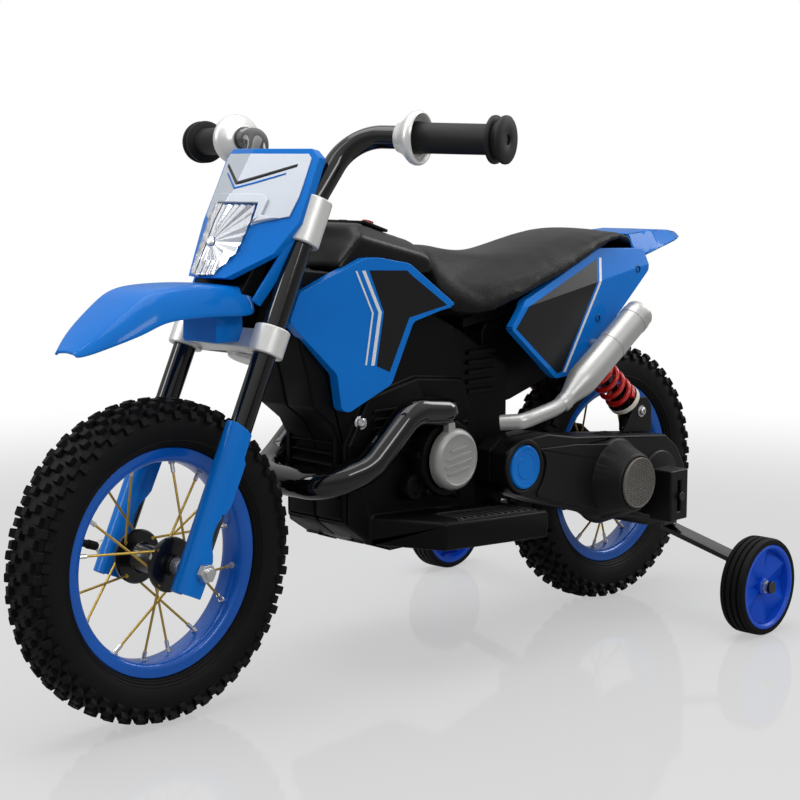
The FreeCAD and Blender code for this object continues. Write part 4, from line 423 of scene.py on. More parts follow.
# Tyres: a spun carcass with rows of tapered knobs
tyreShape = {
    "pitches": 46, "stagger": 0.25, "sink": 0.0012, "taper": 0.84, "steps": 132,
    "carcass": [(0.0146, 0.1000), (0.0148, 0.1078), (0.0190, 0.1095), (0.0240, 0.1155), (0.0264, 0.1240),
                (0.0262, 0.1320), (0.0236, 0.1394), (0.0190, 0.1440), (0.0100, 0.1468), (0.0, 0.1474)],
    # turn share of a pitch, across, seat radius, lean in degrees, length, width, height
    "knobs": [(0.0, 0.0052, 0.1466, 3, 0.0088, 0.0082, 0.0057),
              (0.5, 0.0138, 0.1450, 12, 0.0088, 0.0078, 0.0060),
              (0.0, 0.0206, 0.1416, 42, 0.0092, 0.0080, 0.0066),
              (0.5, 0.0236, 0.1372, 64, 0.0086, 0.0088, 0.0046)],
    "ribs": [(0.0190, 0.1094), (0.0213, 0.1118), (0.0234, 0.1146)],
    "ribSection": [(-0.0004, -0.001), (0.0009, 0), (0.0002, 0.0014)],
}


def makeTyre(name, centre, node):
    shape = tyreShape
    bm = bmesh.new()
    half = shape["carcass"]
    section = half + [(-across, radius) for across, radius in reversed(half[:-1])]
    addSpun(bm, section, centre, (0, 1, 0), closed=True, steps=shape["steps"])
    for across, radius in shape["ribs"]:
        for side in (1, -1):
            ring = [(side * (across + out), radius + rise) for out, rise in shape["ribSection"]]
            addSpun(bm, ring, centre, (0, 1, 0), steps=shape["steps"])
    pitch = 2 * math.pi / shape["pitches"]
    sink = Matrix.Translation((0, 0, -shape["sink"]))
    for number in range(shape["pitches"]):
        for share, across, radius, lean, length, width, height in shape["knobs"]:
            for side in (1, -1):
                late = shape["stagger"] if side < 0 else 0
                turn = Matrix.Rotation((number + share + late) * pitch, 4, "Y")
                tilt = Matrix.Rotation(math.radians(-lean * side), 4, "X")
                seat = Matrix.Translation((0, side * across, radius))
                place = Matrix.Translation(centre) @ turn @ seat @ tilt @ sink
                addBlock(bm, place, (length, width, height + shape["sink"]), shape["taper"])
    finishPiece(name, bm, rubberBlack, node, edge=0.0005, sharp=42, segments=1)


makeTyre("frontTyre", frontAxle, "front_tyre")
makeTyre("rearTyre", rearAxle, "rear_tyre")
print("tyres moulded")


# Wheels: rolled rims with a valve, laced spokes with nipples, two flange hubs
rimShape = {
    "section": [(0.0150, 0.0988), (0.0151, 0.1072), (0.0160, 0.1079), (0.0170, 0.1070), (0.0170, 0.1010),
                (0.0160, 0.0972), (0.0138, 0.0950), (0.0090, 0.0936), (0.0, 0.0931)],
    "bed": [(-0.0090, 0.0974), (0.0090, 0.0974)], "valveTurn": 1.22, "valveSeat": 0.0942,
    "valve": [(0, 0), (0, 0.00578), (0.002, 0.00493), (0.005, 0.00374), (0.0143, 0.0034), (0.01482, 0.00425),
              (0.02418, 0.00408), (0.026, 0.00272), (0.026, 0)],
}
spokeShape = {"count": 16, "hubRadius": 0.022, "flange": 0.0245, "offset": 0.0024, "rimOffset": 0.004,
              "rimRadius": 0.097, "lean": 1.5, "wire": 0.0012, "stop": 0.004, "head": 0.0012,
              "headRadius": 0.0021,
              # distances back from the rim, and radii
              "neck": (0.014, 0.005, 0.002024), "seat": (0.006, 0.00297, 0.0033)}
hubShape = {"profile": [(-0.032, 0.0058), (-0.032, 0.0100), (-0.0285, 0.0105), (-0.0282, 0.0225),
                        (-0.0268, 0.0256), (-0.0238, 0.0260), (-0.0218, 0.0245), (-0.0195, 0.0150),
                        (-0.0170, 0.0132)]}


def makeWheel(label, centre, body):
    half = rimShape["section"]
    section = half + [(-across, radius) for across, radius in reversed(half[:-1])] + rimShape["bed"]
    bm = bmesh.new()
    addSpun(bm, section, centre, (0, 1, 0), closed=True, steps=144)
    finishPiece(label + "Rim", bm, blueRim, label + "_rim", edge=0.0003, segments=1)
    bm = bmesh.new()
    aim = Vector((math.sin(rimShape["valveTurn"]), 0, math.cos(rimShape["valveTurn"])))
    addSpun(bm, rimShape["valve"], centre + aim * rimShape["valveSeat"], -aim, steps=20)
    finishPiece(label + "Valve", bm, rubberBlack, body=body)
    wires, nipples = bmesh.new(), bmesh.new()
    shape = spokeShape
    neckFrom, neckTo, neckRadius = shape["neck"]
    seatFrom, seatRadius, seatTip = shape["seat"]
    pitch = 2 * math.pi / shape["count"]
    row = shape["count"] // 2
    for number in range(shape["count"]):
        side = 1 if number < row else -1
        way = 1 if number % 2 else -1
        turn = (number % row) * 2 * pitch + (0 if side > 0 else 2 * pitch)
        end = turn + shape["lean"] * pitch * way
        track = side * (shape["flange"] + shape["offset"] * way)
        start = centre + Vector((math.sin(turn) * shape["hubRadius"], track,
                                 math.cos(turn) * shape["hubRadius"]))
        foot = centre + Vector((math.sin(end) * shape["rimRadius"], side * shape["rimOffset"],
                                math.cos(end) * shape["rimRadius"]))
        aim = (foot - start).normalized()
        head = Vector((0, side * way * shape["head"], 0))
        addRod(wires, start, foot - aim * shape["stop"], shape["wire"])
        addRod(wires, start - head, start + head, shape["headRadius"])
        addRod(nipples, foot - aim * neckFrom, foot - aim * neckTo, neckRadius, sides=8)
        addRod(nipples, foot - aim * seatFrom, foot, seatRadius, seatTip)
    finishPiece(label + "Spokes", wires, spokeBrass, label + "_spokes")
    finishPiece(label + "Nipples", nipples, zincSteel, body=body)


makeWheel("front", frontAxle, "front_wheel")
makeWheel("rear", rearAxle, "rear_wheel")
bm = bmesh.new()
half = hubShape["profile"]
addSpun(bm, half + [(-along, radius) for along, radius in reversed(half)], frontAxle, (0, 1, 0), closed=True)
finishPiece("frontHub", bm, hubBlack, "front_hub")
softened("rearHub", "rear_hub", hubBlack, 0.0004)
softened("frontAxleNuts", "front_axle", zincSteel, 0.0006)
softened("rearAxleNuts", "rear_axle", zincSteel, 0.0006)
print("wheels laced")

# Fork: plain tubes and clamps, half round guards with a scalloped rear edge
for node, finish, edge in (("fork_leg_left", glossBlack, 0.0006), ("fork_leg_right", glossBlack, 0.0006),
                           ("lower_clamp", silverPaint, 0.0016), ("upper_clamp", silverPaint, 0.0016),
                           ("head_tube", bodyBlack, 0.0006), ("handlebars", glossBlack, 0.0004)):
    softened(node + "_skin", node, finish, edge)

collarShape = {  # funnels that open towards the grips, with a thick rolled rim
    "spot": Vector((0.1200, 0.1220, 0.5419)), "way": Vector((-0.2827, 0.9589, -0.0246)),
    "profile": [(-0.0120, 0.0113), (-0.0124, 0.0128), (-0.0114, 0.0140), (-0.0085, 0.0148), (-0.0045, 0.0172),
                (0.0000, 0.0212), (0.0020, 0.0232), (0.0040, 0.0248), (0.0070, 0.0258), (0.0100, 0.0257),
                (0.0120, 0.0246), (0.0124, 0.0234), (0.0112, 0.0224), (0.0080, 0.0216), (0.0030, 0.0190),
                (0.0000, 0.0160), (-0.0030, 0.0113)],
    "grip": [(0.0020, 0.0113), (0.0020, 0.0150), (0.0060, 0.0156), (0.0110, 0.0152), (0.0150, 0.0145),
             (0.0820, 0.0143), (0.0846, 0.0150), (0.0850, 0.0205), (0.0860, 0.0222), (0.0876, 0.0225),
             (0.0892, 0.0222), (0.0902, 0.0208), (0.0906, 0.0178), (0.0950, 0.0176), (0.0956, 0.0206),
             (0.0966, 0.0222), (0.0982, 0.0225), (0.0998, 0.0222), (0.1008, 0.0210), (0.1010, 0.0060),
             (0.1004, 0.0050), (0.0985, 0.0046), (0.0985, 0.0)],
}
bm = bmesh.new()
addSpun(bm, collarShape["profile"], collarShape["spot"], collarShape["way"], closed=True, steps=64)
finishPiece("gripCollars", bm, silverPaint, "grip_collars", both=True, sharp=44)
bm = bmesh.new()
addSpun(bm, collarShape["grip"], collarShape["spot"], collarShape["way"], steps=56)
finishPiece("gripRubbers", bm, gripBlack, "grips", both=True, sharp=44)

guardShape = {
    "track": 0.058, "radius": 0.0145, "wall": 0.0026, "top": 0.140, "slant": 22, "arcSteps": 14,
    "edgeGap": 0.0004,
    # height above the axle, reach of the skirt behind the tube's middle
    "rear": [(-0.024, 0.0062), (-0.014, 0.0068), (0.004, 0.0068), (0.012, 0.0066), (0.018, 0.0040),
             (0.024, 0.0002), (0.031, -0.0020), (0.038, -0.0028), (0.045, -0.0020), (0.052, 0.0002),
             (0.058, 0.0040), (0.064, 0.0066), (0.074, 0.0068), (0.092, 0.0074), (0.106, 0.0074),
             (0.110, 0.0040), (0.126, 0.0036), (0.146, 0.0036)],
}


def makeGuards():
    shape = guardShape
    radius, steps = shape["radius"], shape["arcSteps"]
    bm = bmesh.new()
    rings = []
    for height, skirt in shape["rear"]:
        cut = max(-skirt, 0)  # where the scallop eats into the half round
        first = math.asin((cut + shape["edgeGap"]) / radius)
        turns = [first + (math.pi - 2 * first) * step / steps for step in range(steps + 1)]
        side = math.sqrt(radius ** 2 - cut ** 2)
        arc = [(-skirt, -side)]
        arc += [(radius * math.sin(turn), -radius * math.cos(turn)) for turn in turns]
        arc += [(-skirt, side)]
        rings.append([steerFrame @ Vector((along, shape["track"] + across, height)) for along, across in arc])
    addSkin(bm, rings)
    slope = Matrix.Rotation(math.radians(shape["slant"]), 3, "Y") @ Vector((0, 0, 1))
    slope.x = -abs(slope.x)  # the top falls away towards the rear
    bmesh.ops.bisect_plane(bm, geom=allOf(bm), dist=0.000001, clear_outer=True,
                           plane_co=steerFrame @ Vector((radius, 0, shape["top"])),
                           plane_no=steerFrame.to_3x3() @ slope)
    finishPiece("forkGuards", bm, bluePlastic, "fork_guards", both=True, wall=shape["wall"], edge=0.0007,
                sharp=50, facing=steerFrame.to_3x3() @ Vector((1, 0, 0)))


makeGuards()

# Front fender: a flat roof with sloping sides and a drooping beak
fenderShape = {
    "rear": 0.245, "length": 0.186, "low": 0.352, "rise": 0.057, "half": 0.0465, "skirt": 0.036,
    "wall": 0.0025,
    # shares: along, crown, width, skirt
    "rows": [(0, 0.9, 0.92, 0.72), (0.12, 0.945, 0.97, 0.75), (0.245, 0.98, 1, 0.78), (0.4, 0.99, 1, 0.78),
             (0.555, 0.97, 1, 0.78), (0.64, 0.88, 0.98, 0.76), (0.707, 0.74, 0.95, 0.7),
             (0.87, 0.38, 0.78, 0.39), (0.96, 0.13, 0.5, 0.2), (1, 0.04, 0.34, 0.1)],
    # share of the half width, share of the skirt's fall, lift
    "section": [(1, 1, 0), (0.93, 0.52, 0), (0.74, 0.06, 0), (0.62, 0, 0), (0.3, 0, 0.0006)],
    "crown": 0.001, "crease": 0.9,
    "stay": ((0.262, 0, 0.352), (0.034, 0.05, 0.046), 0.95),  # spot, size, taper
}


def makeFender():
    shape = fenderShape
    bm = bmesh.new()
    crease = bm.edges.layers.float.new("crease_edge")
    rings = []
    for along, crown, width, skirt in shape["rows"]:
        top = shape["low"] + shape["rise"] * crown
        half, fall = shape["half"] * width, shape["skirt"] * skirt
        side = [(share * half, lift - fall * part) for share, part, lift in shape["section"]]
        ring = [(-across, drop) for across, drop in side] + [(0, shape["crown"])] + side[::-1]
        rings.append([(shape["rear"] + shape["length"] * along, across, top + drop) for across, drop in ring])
    addSkin(bm, rings)
    for line in bm.edges:
        if line.is_boundary:
            line[crease] = shape["crease"]
    finishPiece("frontFender", bm, bluePlastic, "front_fender", levels=2, wall=shape["wall"],
                facing=Vector((0, 0, 1)))
    bm = bmesh.new()  # the box under the fender that sits on the lower clamp
    spot, size, taper = shape["stay"]
    addBlock(bm, Matrix.Translation(spot), size, taper)
    finishPiece("fenderStay", bm, bluePlastic, body="steering", edge=0.002)


makeFender()

# Mask: a blue shell with a silver front panel, a raised moulding and a faceted lamp
maskShape = {
    "low": 0.4125, "high": 0.532, "back": 0.181, "depth": 0.098, "half": 0.066,
    # shares: rise, ridge, edge, width
    "rows": [(0, 1, 0.9, 0.4), (0.19, 0.88, 0.55, 0.86), (0.42, 0.74, 0.34, 1.04), (0.72, 0.49, 0.16, 1.02),
             (1, 0.27, 0, 1)],
    # outlines in shares of the half width and of the height
    "panel": [(0, 0.955), (0.84, 0.955), (0.90, 0.92), (0.90, 0.62), (0.86, 0.47), (0.55, 0.43), (0.42, 0.40),
              (0.405, 0.57), (0, 0.57)],
    "moulding": [(0, 0.635), (0.44, 0.635), (0.53, 0.59), (0.515, 0.475), (0.74, 0.455), (0.49, 0.425),
                 (0.43, 0.41), (0.41, 0.565), (0, 0.565)],
    "stripe": [(0, 0.71), (0.74, 0.85), (0.74, 0.875), (0, 0.735)],
    "stripeLow": [(0, 0.675), (0.62, 0.79), (0.62, 0.805), (0, 0.69)],
    "lamp": [(0, 0.55), (0.388, 0.55), (0.404, 0.42), (0.45, 0.19), (0.5, 0.012), (0, 0.012)],
    "lensCuts": (0.15, 0.3), "lensLift": 0.0042, "lensBulge": 0.0014,
    "bulb": (0, 0.27), "flutes": 34, "cupLift": 0.0012, "cupRings": (0.12, 0.55, 1.0), "fluteHigh": 0.0022,
    "fluteLow": 0.0002,
    "bulbProfile": [(0, 0.0052), (0.0012, 0.0048), (0.0022, 0.0034), (0.0027, 0.0018), (0.0028, 0)],
    "outline": [(0, 1), (0.85, 1), (1, 0.93), (1, 0.42), (1, 0.19), (1, 0), (0, 0)], "wall": 0.0022,
    "flange": 0.011, "flangeDraw": 0.03, "flangeDrop": 0.002,
    # middle and half width of a strut's head and foot
    "strut": ((Vector((0.2045, 0.0600, 0.4550)), Vector((0.0064, 0, 0.0044))),
              (Vector((0.2480, 0.0440, 0.3890)), Vector((0.0046, 0, 0.0030)))),
    "apron": [(0.258, 0.390), (0.258, 0.398), (0.248, 0.4125), (0.226, 0.446), (0.214, 0.446),
              (0.240, 0.390)],
    "apronHalf": 0.036, "strutThick": 0.003, "peg": (0.007, 0, 0.343), "pegReach": 0.036, "pegRadius": 0.007,
}
maskPlates = {  # what lies on the mask: name, lift over the shell, finish, slot, wall, edge
    "panel": ("maskPanel", 0.0012, maskSilver, "silver_plastic", 0.0012, 0.0005),
    "moulding": ("maskMoulding", 0.0036, maskSilver, "silver_plastic", 0.0034, 0.0012),
    "stripe": ("maskStripe", 0.0016, decalBlackAndHoleShade, "black_shell", 0.0005, 0.0),
    "stripeLow": ("maskStripeLow", 0.0016, bluePlastic, "blue_plastic", 0.0005, 0.0),
}
ahead = Vector((1, 0, 0.3))


def maskSpot(across, rise, lift):
    shape = maskShape
    rows = shape["rows"]
    below = max(index for index in range(len(rows) - 1) if rows[index][0] <= rise or index == 0)
    low, high = rows[below], rows[below + 1]
    share = (rise - low[0]) / (high[0] - low[0])
    ridge, rim, width = (start + (end - start) * share for start, end in zip(low[1:], high[1:]))
    tall = shape["high"] - shape["low"]
    side = -1 if across < 0 else 1
    spot = Vector((shape["back"] + shape["depth"] * (ridge + (rim - ridge) * abs(across)),
                   shape["half"] * width * across, shape["low"] + tall * rise))
    lean = (high[1] - low[1] + (high[2] - low[2] - high[1] + low[1]) * abs(across)) * shape["depth"]
    wide = Vector((shape["depth"] * (rim - ridge), side * shape["half"] * width, 0))
    if abs(across) < 0.001:
        wide = Vector((0, 1, 0))
    upward = Vector((lean, 0, tall * (high[0] - low[0])))
    normal = wide.cross(upward).normalized()
    return spot + (normal if normal.x > 0 else -normal) * lift


def maskPlate(outline, lift, bulge=0.0):
    bm = bmesh.new()
    for side in (1, -1):
        addFace(bm, [(across * side, rise, 0) for across, rise in outline])
    cuts = [((0, row[0], 0), (0, 1, 0)) for row in maskShape["rows"][1:-1]]
    if bulge:
        cuts += [((side * share, 0, 0), (1, 0, 0)) for share in maskShape["lensCuts"] for side in (1, -1)]
    for spot, way in cuts:
        bmesh.ops.bisect_plane(bm, geom=allOf(bm), dist=0.00001, plane_co=spot, plane_no=way)
    widest = max(across for across, rise in outline)
    for vert in bm.verts:
        swell = bulge * (1 - abs(vert.co.x) / widest)
        vert.co = maskSpot(vert.co.x, vert.co.y, lift + swell)
    return bm


def makeMask():
    shape = maskShape
    bm = maskPlate(shape["outline"], 0.0)
    bmesh.ops.remove_doubles(bm, verts=bm.verts[:], dist=0.00001)
    made = bmesh.ops.extrude_edge_only(bm, edges=[line for line in bm.edges if line.is_boundary])
    for vert in newVerts(made):
        vert.co += Vector((-shape["flange"], -vert.co.y * shape["flangeDraw"], -shape["flangeDrop"]))
    finishPiece("maskShell", bm, bluePlastic, "front_mask", wall=shape["wall"], edge=0.0009, sharp=16,
                facing=ahead)
    bm = bmesh.new()  # slim struts run down to the fender
    (head, headLean), (foot, footLean) = shape["strut"]
    addFace(bm, [head - headLean, head + headLean, foot + footLean, foot - footLean])
    thicken(bm, bm.faces[:], Vector((0, shape["strutThick"], 0)))
    finishPiece("maskStruts", bm, bluePlastic, body="steering", both=True, edge=0.0008)
    bm = bmesh.new()  # black apron between the struts, and the peg on the upper clamp
    half = shape["apronHalf"]
    addFace(bm, [(along, -half, rise) for along, rise in shape["apron"]])
    thicken(bm, bm.faces[:], Vector((0, 2 * half, 0)))
    peg = Vector(shape["peg"])
    pegEnd = peg + Vector((shape["pegReach"], 0, 0))
    addRod(bm, steerFrame @ peg, steerFrame @ pegEnd, shape["pegRadius"])
    finishPiece("maskApron", bm, bodyBlack, body="steering", edge=0.002)
    for outline, (name, lift, finish, slot, wall, edge) in maskPlates.items():
        finishPiece(name, maskPlate(shape[outline], lift), finish, body="steering", wall=wall,
                    edge=edge, facing=ahead)
    finishPiece("lampLens", maskPlate(shape["lamp"], shape["lensLift"], shape["lensBulge"]), lampClear,
                "headlight_lens", wall=0.0012, edge=0.0004, facing=ahead)


def makeReflector():
    # bright flutes and flutes with painted shade (a darker copy of the mirror finish) fan out from the bulb
    shape = maskShape
    half = shape["lamp"]
    loop = half + [(-across, rise) for across, rise in reversed(half[1:-1])]
    bm = bmesh.new()
    bulb = maskSpot(*shape["bulb"], shape["cupLift"])
    middleRise = shape["bulb"][1]
    edges = list(zip(loop, loop[1:] + loop[:1]))
    lengths = [math.dist(*pair) for pair in edges]
    total, count = sum(lengths), shape["flutes"] * 2
    spots = []
    for number in range(count):
        reach = total * number / count
        for pair, length in zip(edges, lengths):
            if reach <= length:
                spots.append(tuple(start + (end - start) * reach / length for start, end in zip(*pair)))
                break
            reach -= length
    rings = []
    for share in shape["cupRings"]:
        ring = []
        for number, (across, rise) in enumerate(spots):
            flute = shape["fluteHigh"] * share if number % 2 else shape["fluteLow"]
            ring.append(maskSpot(across * share, middleRise + (rise - middleRise) * share,
                                 shape["cupLift"] + flute))
        rings.append(ring)
    addSkin(bm, rings, closed=True)
    # every other flute takes the darker mirror finish, painted shade standing for mirrored dark surroundings
    for face in bm.faces:
        middle = face.calc_center_median() - bulb
        turn = math.atan2(middle.y, middle.z)
        face.material_index = 1 if math.sin(turn * shape["flutes"]) > 0 else 0
    finishPiece("lampReflector", bm, [mirrorCup, mirrorPaintedShade], "headlight_reflector", facing=ahead, sharp=10)
    bm = bmesh.new()
    addSpun(bm, shape["bulbProfile"], bulb, ahead, steps=24)
    finishPiece("lampBulb", bm, mirrorCup, body="steering")


makeMask()
makeReflector()
print("steering dressed")

# Painted panels with a raised middle and sloping borders; outlines in millimetres along and upward
panelShape = {"corner": 3.5, "wall": 0.002, "decalThick": 0.0004, "wedgeLift": 0.0003, "pinLift": 0.0004,
              "hole": [(0.0, 0.0042), (0.0004, 0.0036), (-0.004, 0.0032), (-0.004, 0.0)], "holeLift": 0.0006}
tankPanel = {
    "outline": [(205, 368), (193, 396), (114, 426), (97, 426), (59, 419), (52, 414), (-1, 375), (54, 360),
                (82, 299), (135, 275), (144, 279), (149, 314)],
    # along and track at the rear and at the front
    "rear": (-0.0016, 0.0712), "front": (0.2047, 0.0448), "deep": 0.012, "border": 0.008, "raise": 0.0024,
    "wedge": [(63, 412), (57, 407), (11, 375), (60, 365), (85, 312), (101, 319), (92, 372), (110, 414)],
    "pins": [[(115, 414), (119, 414), (99, 372), (108, 320), (104, 320), (95, 372)],
             [(125, 414), (127, 414), (107, 372), (115.5, 321), (113.5, 321), (105, 372)]],
}
sidePanel = {
    "outline": [(-107, 372), (-263, 422), (-345, 419), (-346, 394), (-203, 286), (-162, 284), (-81, 344)],
    "rear": (-0.3459, 0.0598), "front": (-0.0807, 0.0776), "deep": 0.010, "border": 0.004, "raise": 0.0016,
    "crease": ((-107, 366), (-346, 401)), "lean": 0.45,
    "wedge": [(-111, 366), (-252, 410), (-238, 383), (-173, 291), (-164, 290), (-89, 344)],
    "pins": [[(-257, 411.5), (-261, 411.5), (-246, 383), (-180, 290), (-176, 290), (-242, 383)]],
    "holes": [(-241, 345), (-322, 396)],
}


def panelSpot(shape, along, rise, lift, side):
    (rear, rearTrack), (front, frontTrack) = shape["rear"], shape["front"]
    along, rise = along / 1000, rise / 1000
    track = rearTrack + (frontTrack - rearTrack) * (along - rear) / (front - rear) + lift
    if "crease" in shape:
        (fromAlong, fromRise), (toAlong, toRise) = shape["crease"]
        share = (along * 1000 - fromAlong) / (toAlong - fromAlong)
        above = rise - (fromRise + (toRise - fromRise) * share) / 1000
        track -= max(above, 0) * shape["lean"]
    return Vector((along, side * track, rise))


def cutCrease(bm, shape):
    # an edge along the line where the panel folds
    if "crease" in shape:
        (fromAlong, fromRise), (toAlong, toRise) = shape["crease"]
        bmesh.ops.bisect_plane(bm, geom=allOf(bm), dist=0.01, plane_co=(fromAlong, fromRise, 0),
                               plane_no=(fromRise - toRise, toAlong - fromAlong, 0))


def makePanel(name, node, shape, side):
    bm = bmesh.new()
    layer = bm.verts.layers.float.new("lift")
    outline = addFace(bm, [(along, rise, 0) for along, rise in shape["outline"]]).verts[:]
    bmesh.ops.bevel(bm, geom=outline, offset=panelShape["corner"], affect="VERTICES", segments=3, profile=0.5,
                    material=-1)
    made = bmesh.ops.inset_region(bm, faces=bm.faces[:], thickness=shape["border"] * 1000,
                                  use_even_offset=True)
    border = set(made["faces"])
    inner = {vert for face in bm.faces if face not in border for vert in face.verts}
    for vert in inner:
        vert[layer] = shape["raise"]
    cutCrease(bm, shape)
    rim = [line for line in bm.edges if line.is_boundary]
    deep = set(newVerts(bmesh.ops.extrude_edge_only(bm, edges=rim)))
    for vert in bm.verts:
        lift = vert[layer] - shape["raise"] - (shape["deep"] if vert in deep else 0)
        vert.co = panelSpot(shape, vert.co.x, vert.co.y, lift, side)
    finishPiece(name, bm, bluePlastic, node, edge=0.0009, sharp=12, facing=Vector((0, side, 0)),
                wall=panelShape["wall"])


def makeDecal(name, shape, outline, finish, lift, side):
    thick = panelShape["decalThick"]
    bm = bmesh.new()
    addFace(bm, [(along, rise, 0) for along, rise in outline])
    cutCrease(bm, shape)
    for vert in bm.verts:
        vert.co = panelSpot(shape, vert.co.x, vert.co.y, lift - thick, side)
    thicken(bm, bm.faces[:], Vector((0, side * thick, 0)))
    finishPiece(name, bm, finish, body="frame", sharp=8)


for label, side in (("left", 1), ("right", -1)):
    makePanel("tankPanel_" + label, "tank_panel_" + label, tankPanel, side)
    makePanel("sidePanel_" + label, "side_panel_" + label, sidePanel, side)
    for title, shape in (("tank", tankPanel), ("side", sidePanel)):
        makeDecal(f"{title}Wedge_{label}", shape, shape["wedge"], decalBlackAndHoleShade, panelShape["wedgeLift"], side)
        for number, pin in enumerate(shape["pins"]):
            makeDecal(f"{title}Pin_{label}_{number}", shape, pin, decalPale, panelShape["pinLift"], side)
    # black discs over the screw spots: painted shade standing for the dark insides of the screw holes
    bm = bmesh.new()
    for along, rise in sidePanel["holes"]:
        spot = panelSpot(sidePanel, along, rise, panelShape["holeLift"], side)
        addSpun(bm, panelShape["hole"], spot, (0, side, 0), steps=20)
    finishPiece("sideScrewHoleShade_" + label, bm, decalBlackAndHoleShade, body="frame")
print("panels painted")


# Seat: the pad is blown up like a stuffed cover over its pan
seatShape = {"shrink": 0.985, "voxel": 0.005, "pressure": 4.0, "frames": 20, "quality": 6, "cap": 0.006,
             "heldBelow": -0.45, "rounds": 3}


def makeSeat():
    shape = seatShape
    bm = solidCopy("seat_pad")
    middle = sum((vert.co for vert in bm.verts), Vector()) / len(bm.verts)
    bmesh.ops.scale(bm, verts=bm.verts[:], vec=(shape["shrink"],) * 3, space=Matrix.Translation(-middle))
    pad = remeshed("seatCover", bm, shape["voxel"])
    start = [vert.co.copy() for vert in pad.data.vertices]
    held = pad.vertex_groups.new(name="held")
    under = [vert.index for vert in pad.data.vertices if vert.normal.z < shape["heldBelow"]]
    held.add(under, 1.0, "REPLACE")
    cloth = pad.modifiers.new("cover", "CLOTH")
    cloth.settings.use_pressure = True
    cloth.settings.uniform_pressure_force = shape["pressure"]
    cloth.settings.effector_weights.gravity = 0
    cloth.settings.vertex_group_mass = "held"
    cloth.settings.quality = shape["quality"]
    cloth.point_cache.frame_end = shape["frames"]
    for step in range(1, shape["frames"] + 1):
        scene.frame_set(step)
    settled(pad)
    scene.frame_set(1)
    for vert, place in zip(pad.data.vertices, start):
        move = vert.co - place
        vert.co = place + move * min(1.0, shape["cap"] / max(move.length, 0.000001))
    cover = finishPiece("seatPad", smoothedCopy(pad, shape["rounds"]), seatHide, "seat_pad", levels=1)


makeSeat()
softened("seatPan", "seat_pan", bodyBlack, 0.002)
print("seat stuffed")

# Body shells, tank cover, dash and tail
for node, finish, edge in (("body_shell_left", bodyBlack, 0.003), ("body_shell_right", bodyBlack, 0.003),
                           ("tail_fender", bluePlastic, 0.0016),
                           ("battery", batteryGrey, 0.002), ("header_pipe", glossBlack, 0.0),
                           ("dash_panel", coverBlack, 0.0008), ("power_button", buttonRed, 0.0006),
                           ("direction_switch", coverBlack, 0.0008),
                           ("accelerator_pedal", stepBlack, 0.0008)):
    softened(node + "_skin", node, finish, edge)

coverShape = {"voxel": 0.0035, "rounds": 9, "well": (0.0706, 0.0135, 0.025), "wellFrom": 0.44,
              "wellDepth": 0.006}


def makeTankCover():
    cover = remeshed("tankCover", solidCopy("tank_cover"), coverShape["voxel"])
    bm = smoothedCopy(cover, coverShape["rounds"])
    middle, half, reach = coverShape["well"]  # room below the dash for the button's travel
    for vert in bm.verts:
        if abs(vert.co.x - middle) < half and abs(vert.co.y) < reach and vert.co.z > coverShape["wellFrom"]:
            vert.co.z -= coverShape["wellDepth"]
    finishPiece("tankCoverSkin", bm, coverBlack, "tank_cover", levels=1)


makeTankCover()

treadShape = {
    "middle": (-0.098, 0, 0.1245), "tilt": 3.5, "seat": 0.0284, "track": 0.093, "first": 0.024, "ribs": 11,
    "pitch": 0.0105, "rib": (0.0062, 0.034, 0.0022), "ribTaper": 0.82, "borderTaper": 0.8,
    # along, across, size
    "border": [(0.017, 0.093, (0.003, 0.040, 0.0022)), (0.137, 0.093, (0.003, 0.040, 0.0022)),
               (0.077, 0.0725, (0.123, 0.003, 0.0022)), (0.077, 0.1125, (0.123, 0.003, 0.0022))],
}
shape = treadShape
bm = bmesh.new()  # ribbed treads let into the tops of the footrests
lie = Matrix.Translation(shape["middle"]) @ Matrix.Rotation(math.radians(-shape["tilt"]), 4, "Y")
for number in range(shape["ribs"]):
    spot = (shape["first"] + number * shape["pitch"], shape["track"], shape["seat"])
    addBlock(bm, lie @ Matrix.Translation(spot), shape["rib"], shape["ribTaper"])
for along, across, size in shape["border"]:
    addBlock(bm, lie @ Matrix.Translation((along, across, shape["seat"])), size, shape["borderTaper"])
finishPiece("footrestTreads", bm, stepBlack, body="frame", both=True, edge=0.0004)

engineShape = {
    "spot": (0.005, 0.0695, 0.216),
    "cap": [(0, 0.026), (0, 0.032), (0.0063, 0.032), (0.009828, 0.03056), (0.011844, 0.02816),
            (0.0126, 0.02624), (0.0118, 0.02528), (0.012, 0.0128), (0.0122, 0)],
    # rise and half length of each bar
    "bars": [(0.0115, 0.013), (0.0040, 0.019), (-0.0035, 0.021), (-0.0110, 0.017)],
    "barLift": 0.012, "barWidth": 0.0036, "barHeight": 0.0014, "barLean": 8, "barTaper": 0.88,
    "lug": ((0.006, 0.004, 0.028), (0.011, 0.008, 0.0105), 0.86),  # spot, size, taper
    "ring": [(-0.022, 0.040), (-0.004, 0.040), (-0.002, 0.0385), (-0.002, 0.033)],
    "bolts": 6, "boltTurn": 20, "boltRadius": 0.0425,
    "bolt": [(-0.02, 0.0045), (-0.004, 0.0045), (-0.003, 0.0038), (-0.003, 0.0026), (-0.005, 0.0022),
             (-0.005, 0)],
    # count, lowest spot, pitch, size, taper of the fins and the clips
    "stacks": [(6, (0.062, 0.0445, 0.226), 0.0088, (0.07, 0.009, 0.0032), 0.92),
               (5, (-0.073, 0.0405, 0.275), 0.0105, (0.046, 0.008, 0.0044), 0.9)],
    "plugSpot": (0.046, 0.046, 0.190),
    "plug": [(0, 0.014), (0.012, 0.014), (0.014, 0.0125), (0.014, 0.008), (0.011, 0.0075), (0.011, 0)],
}


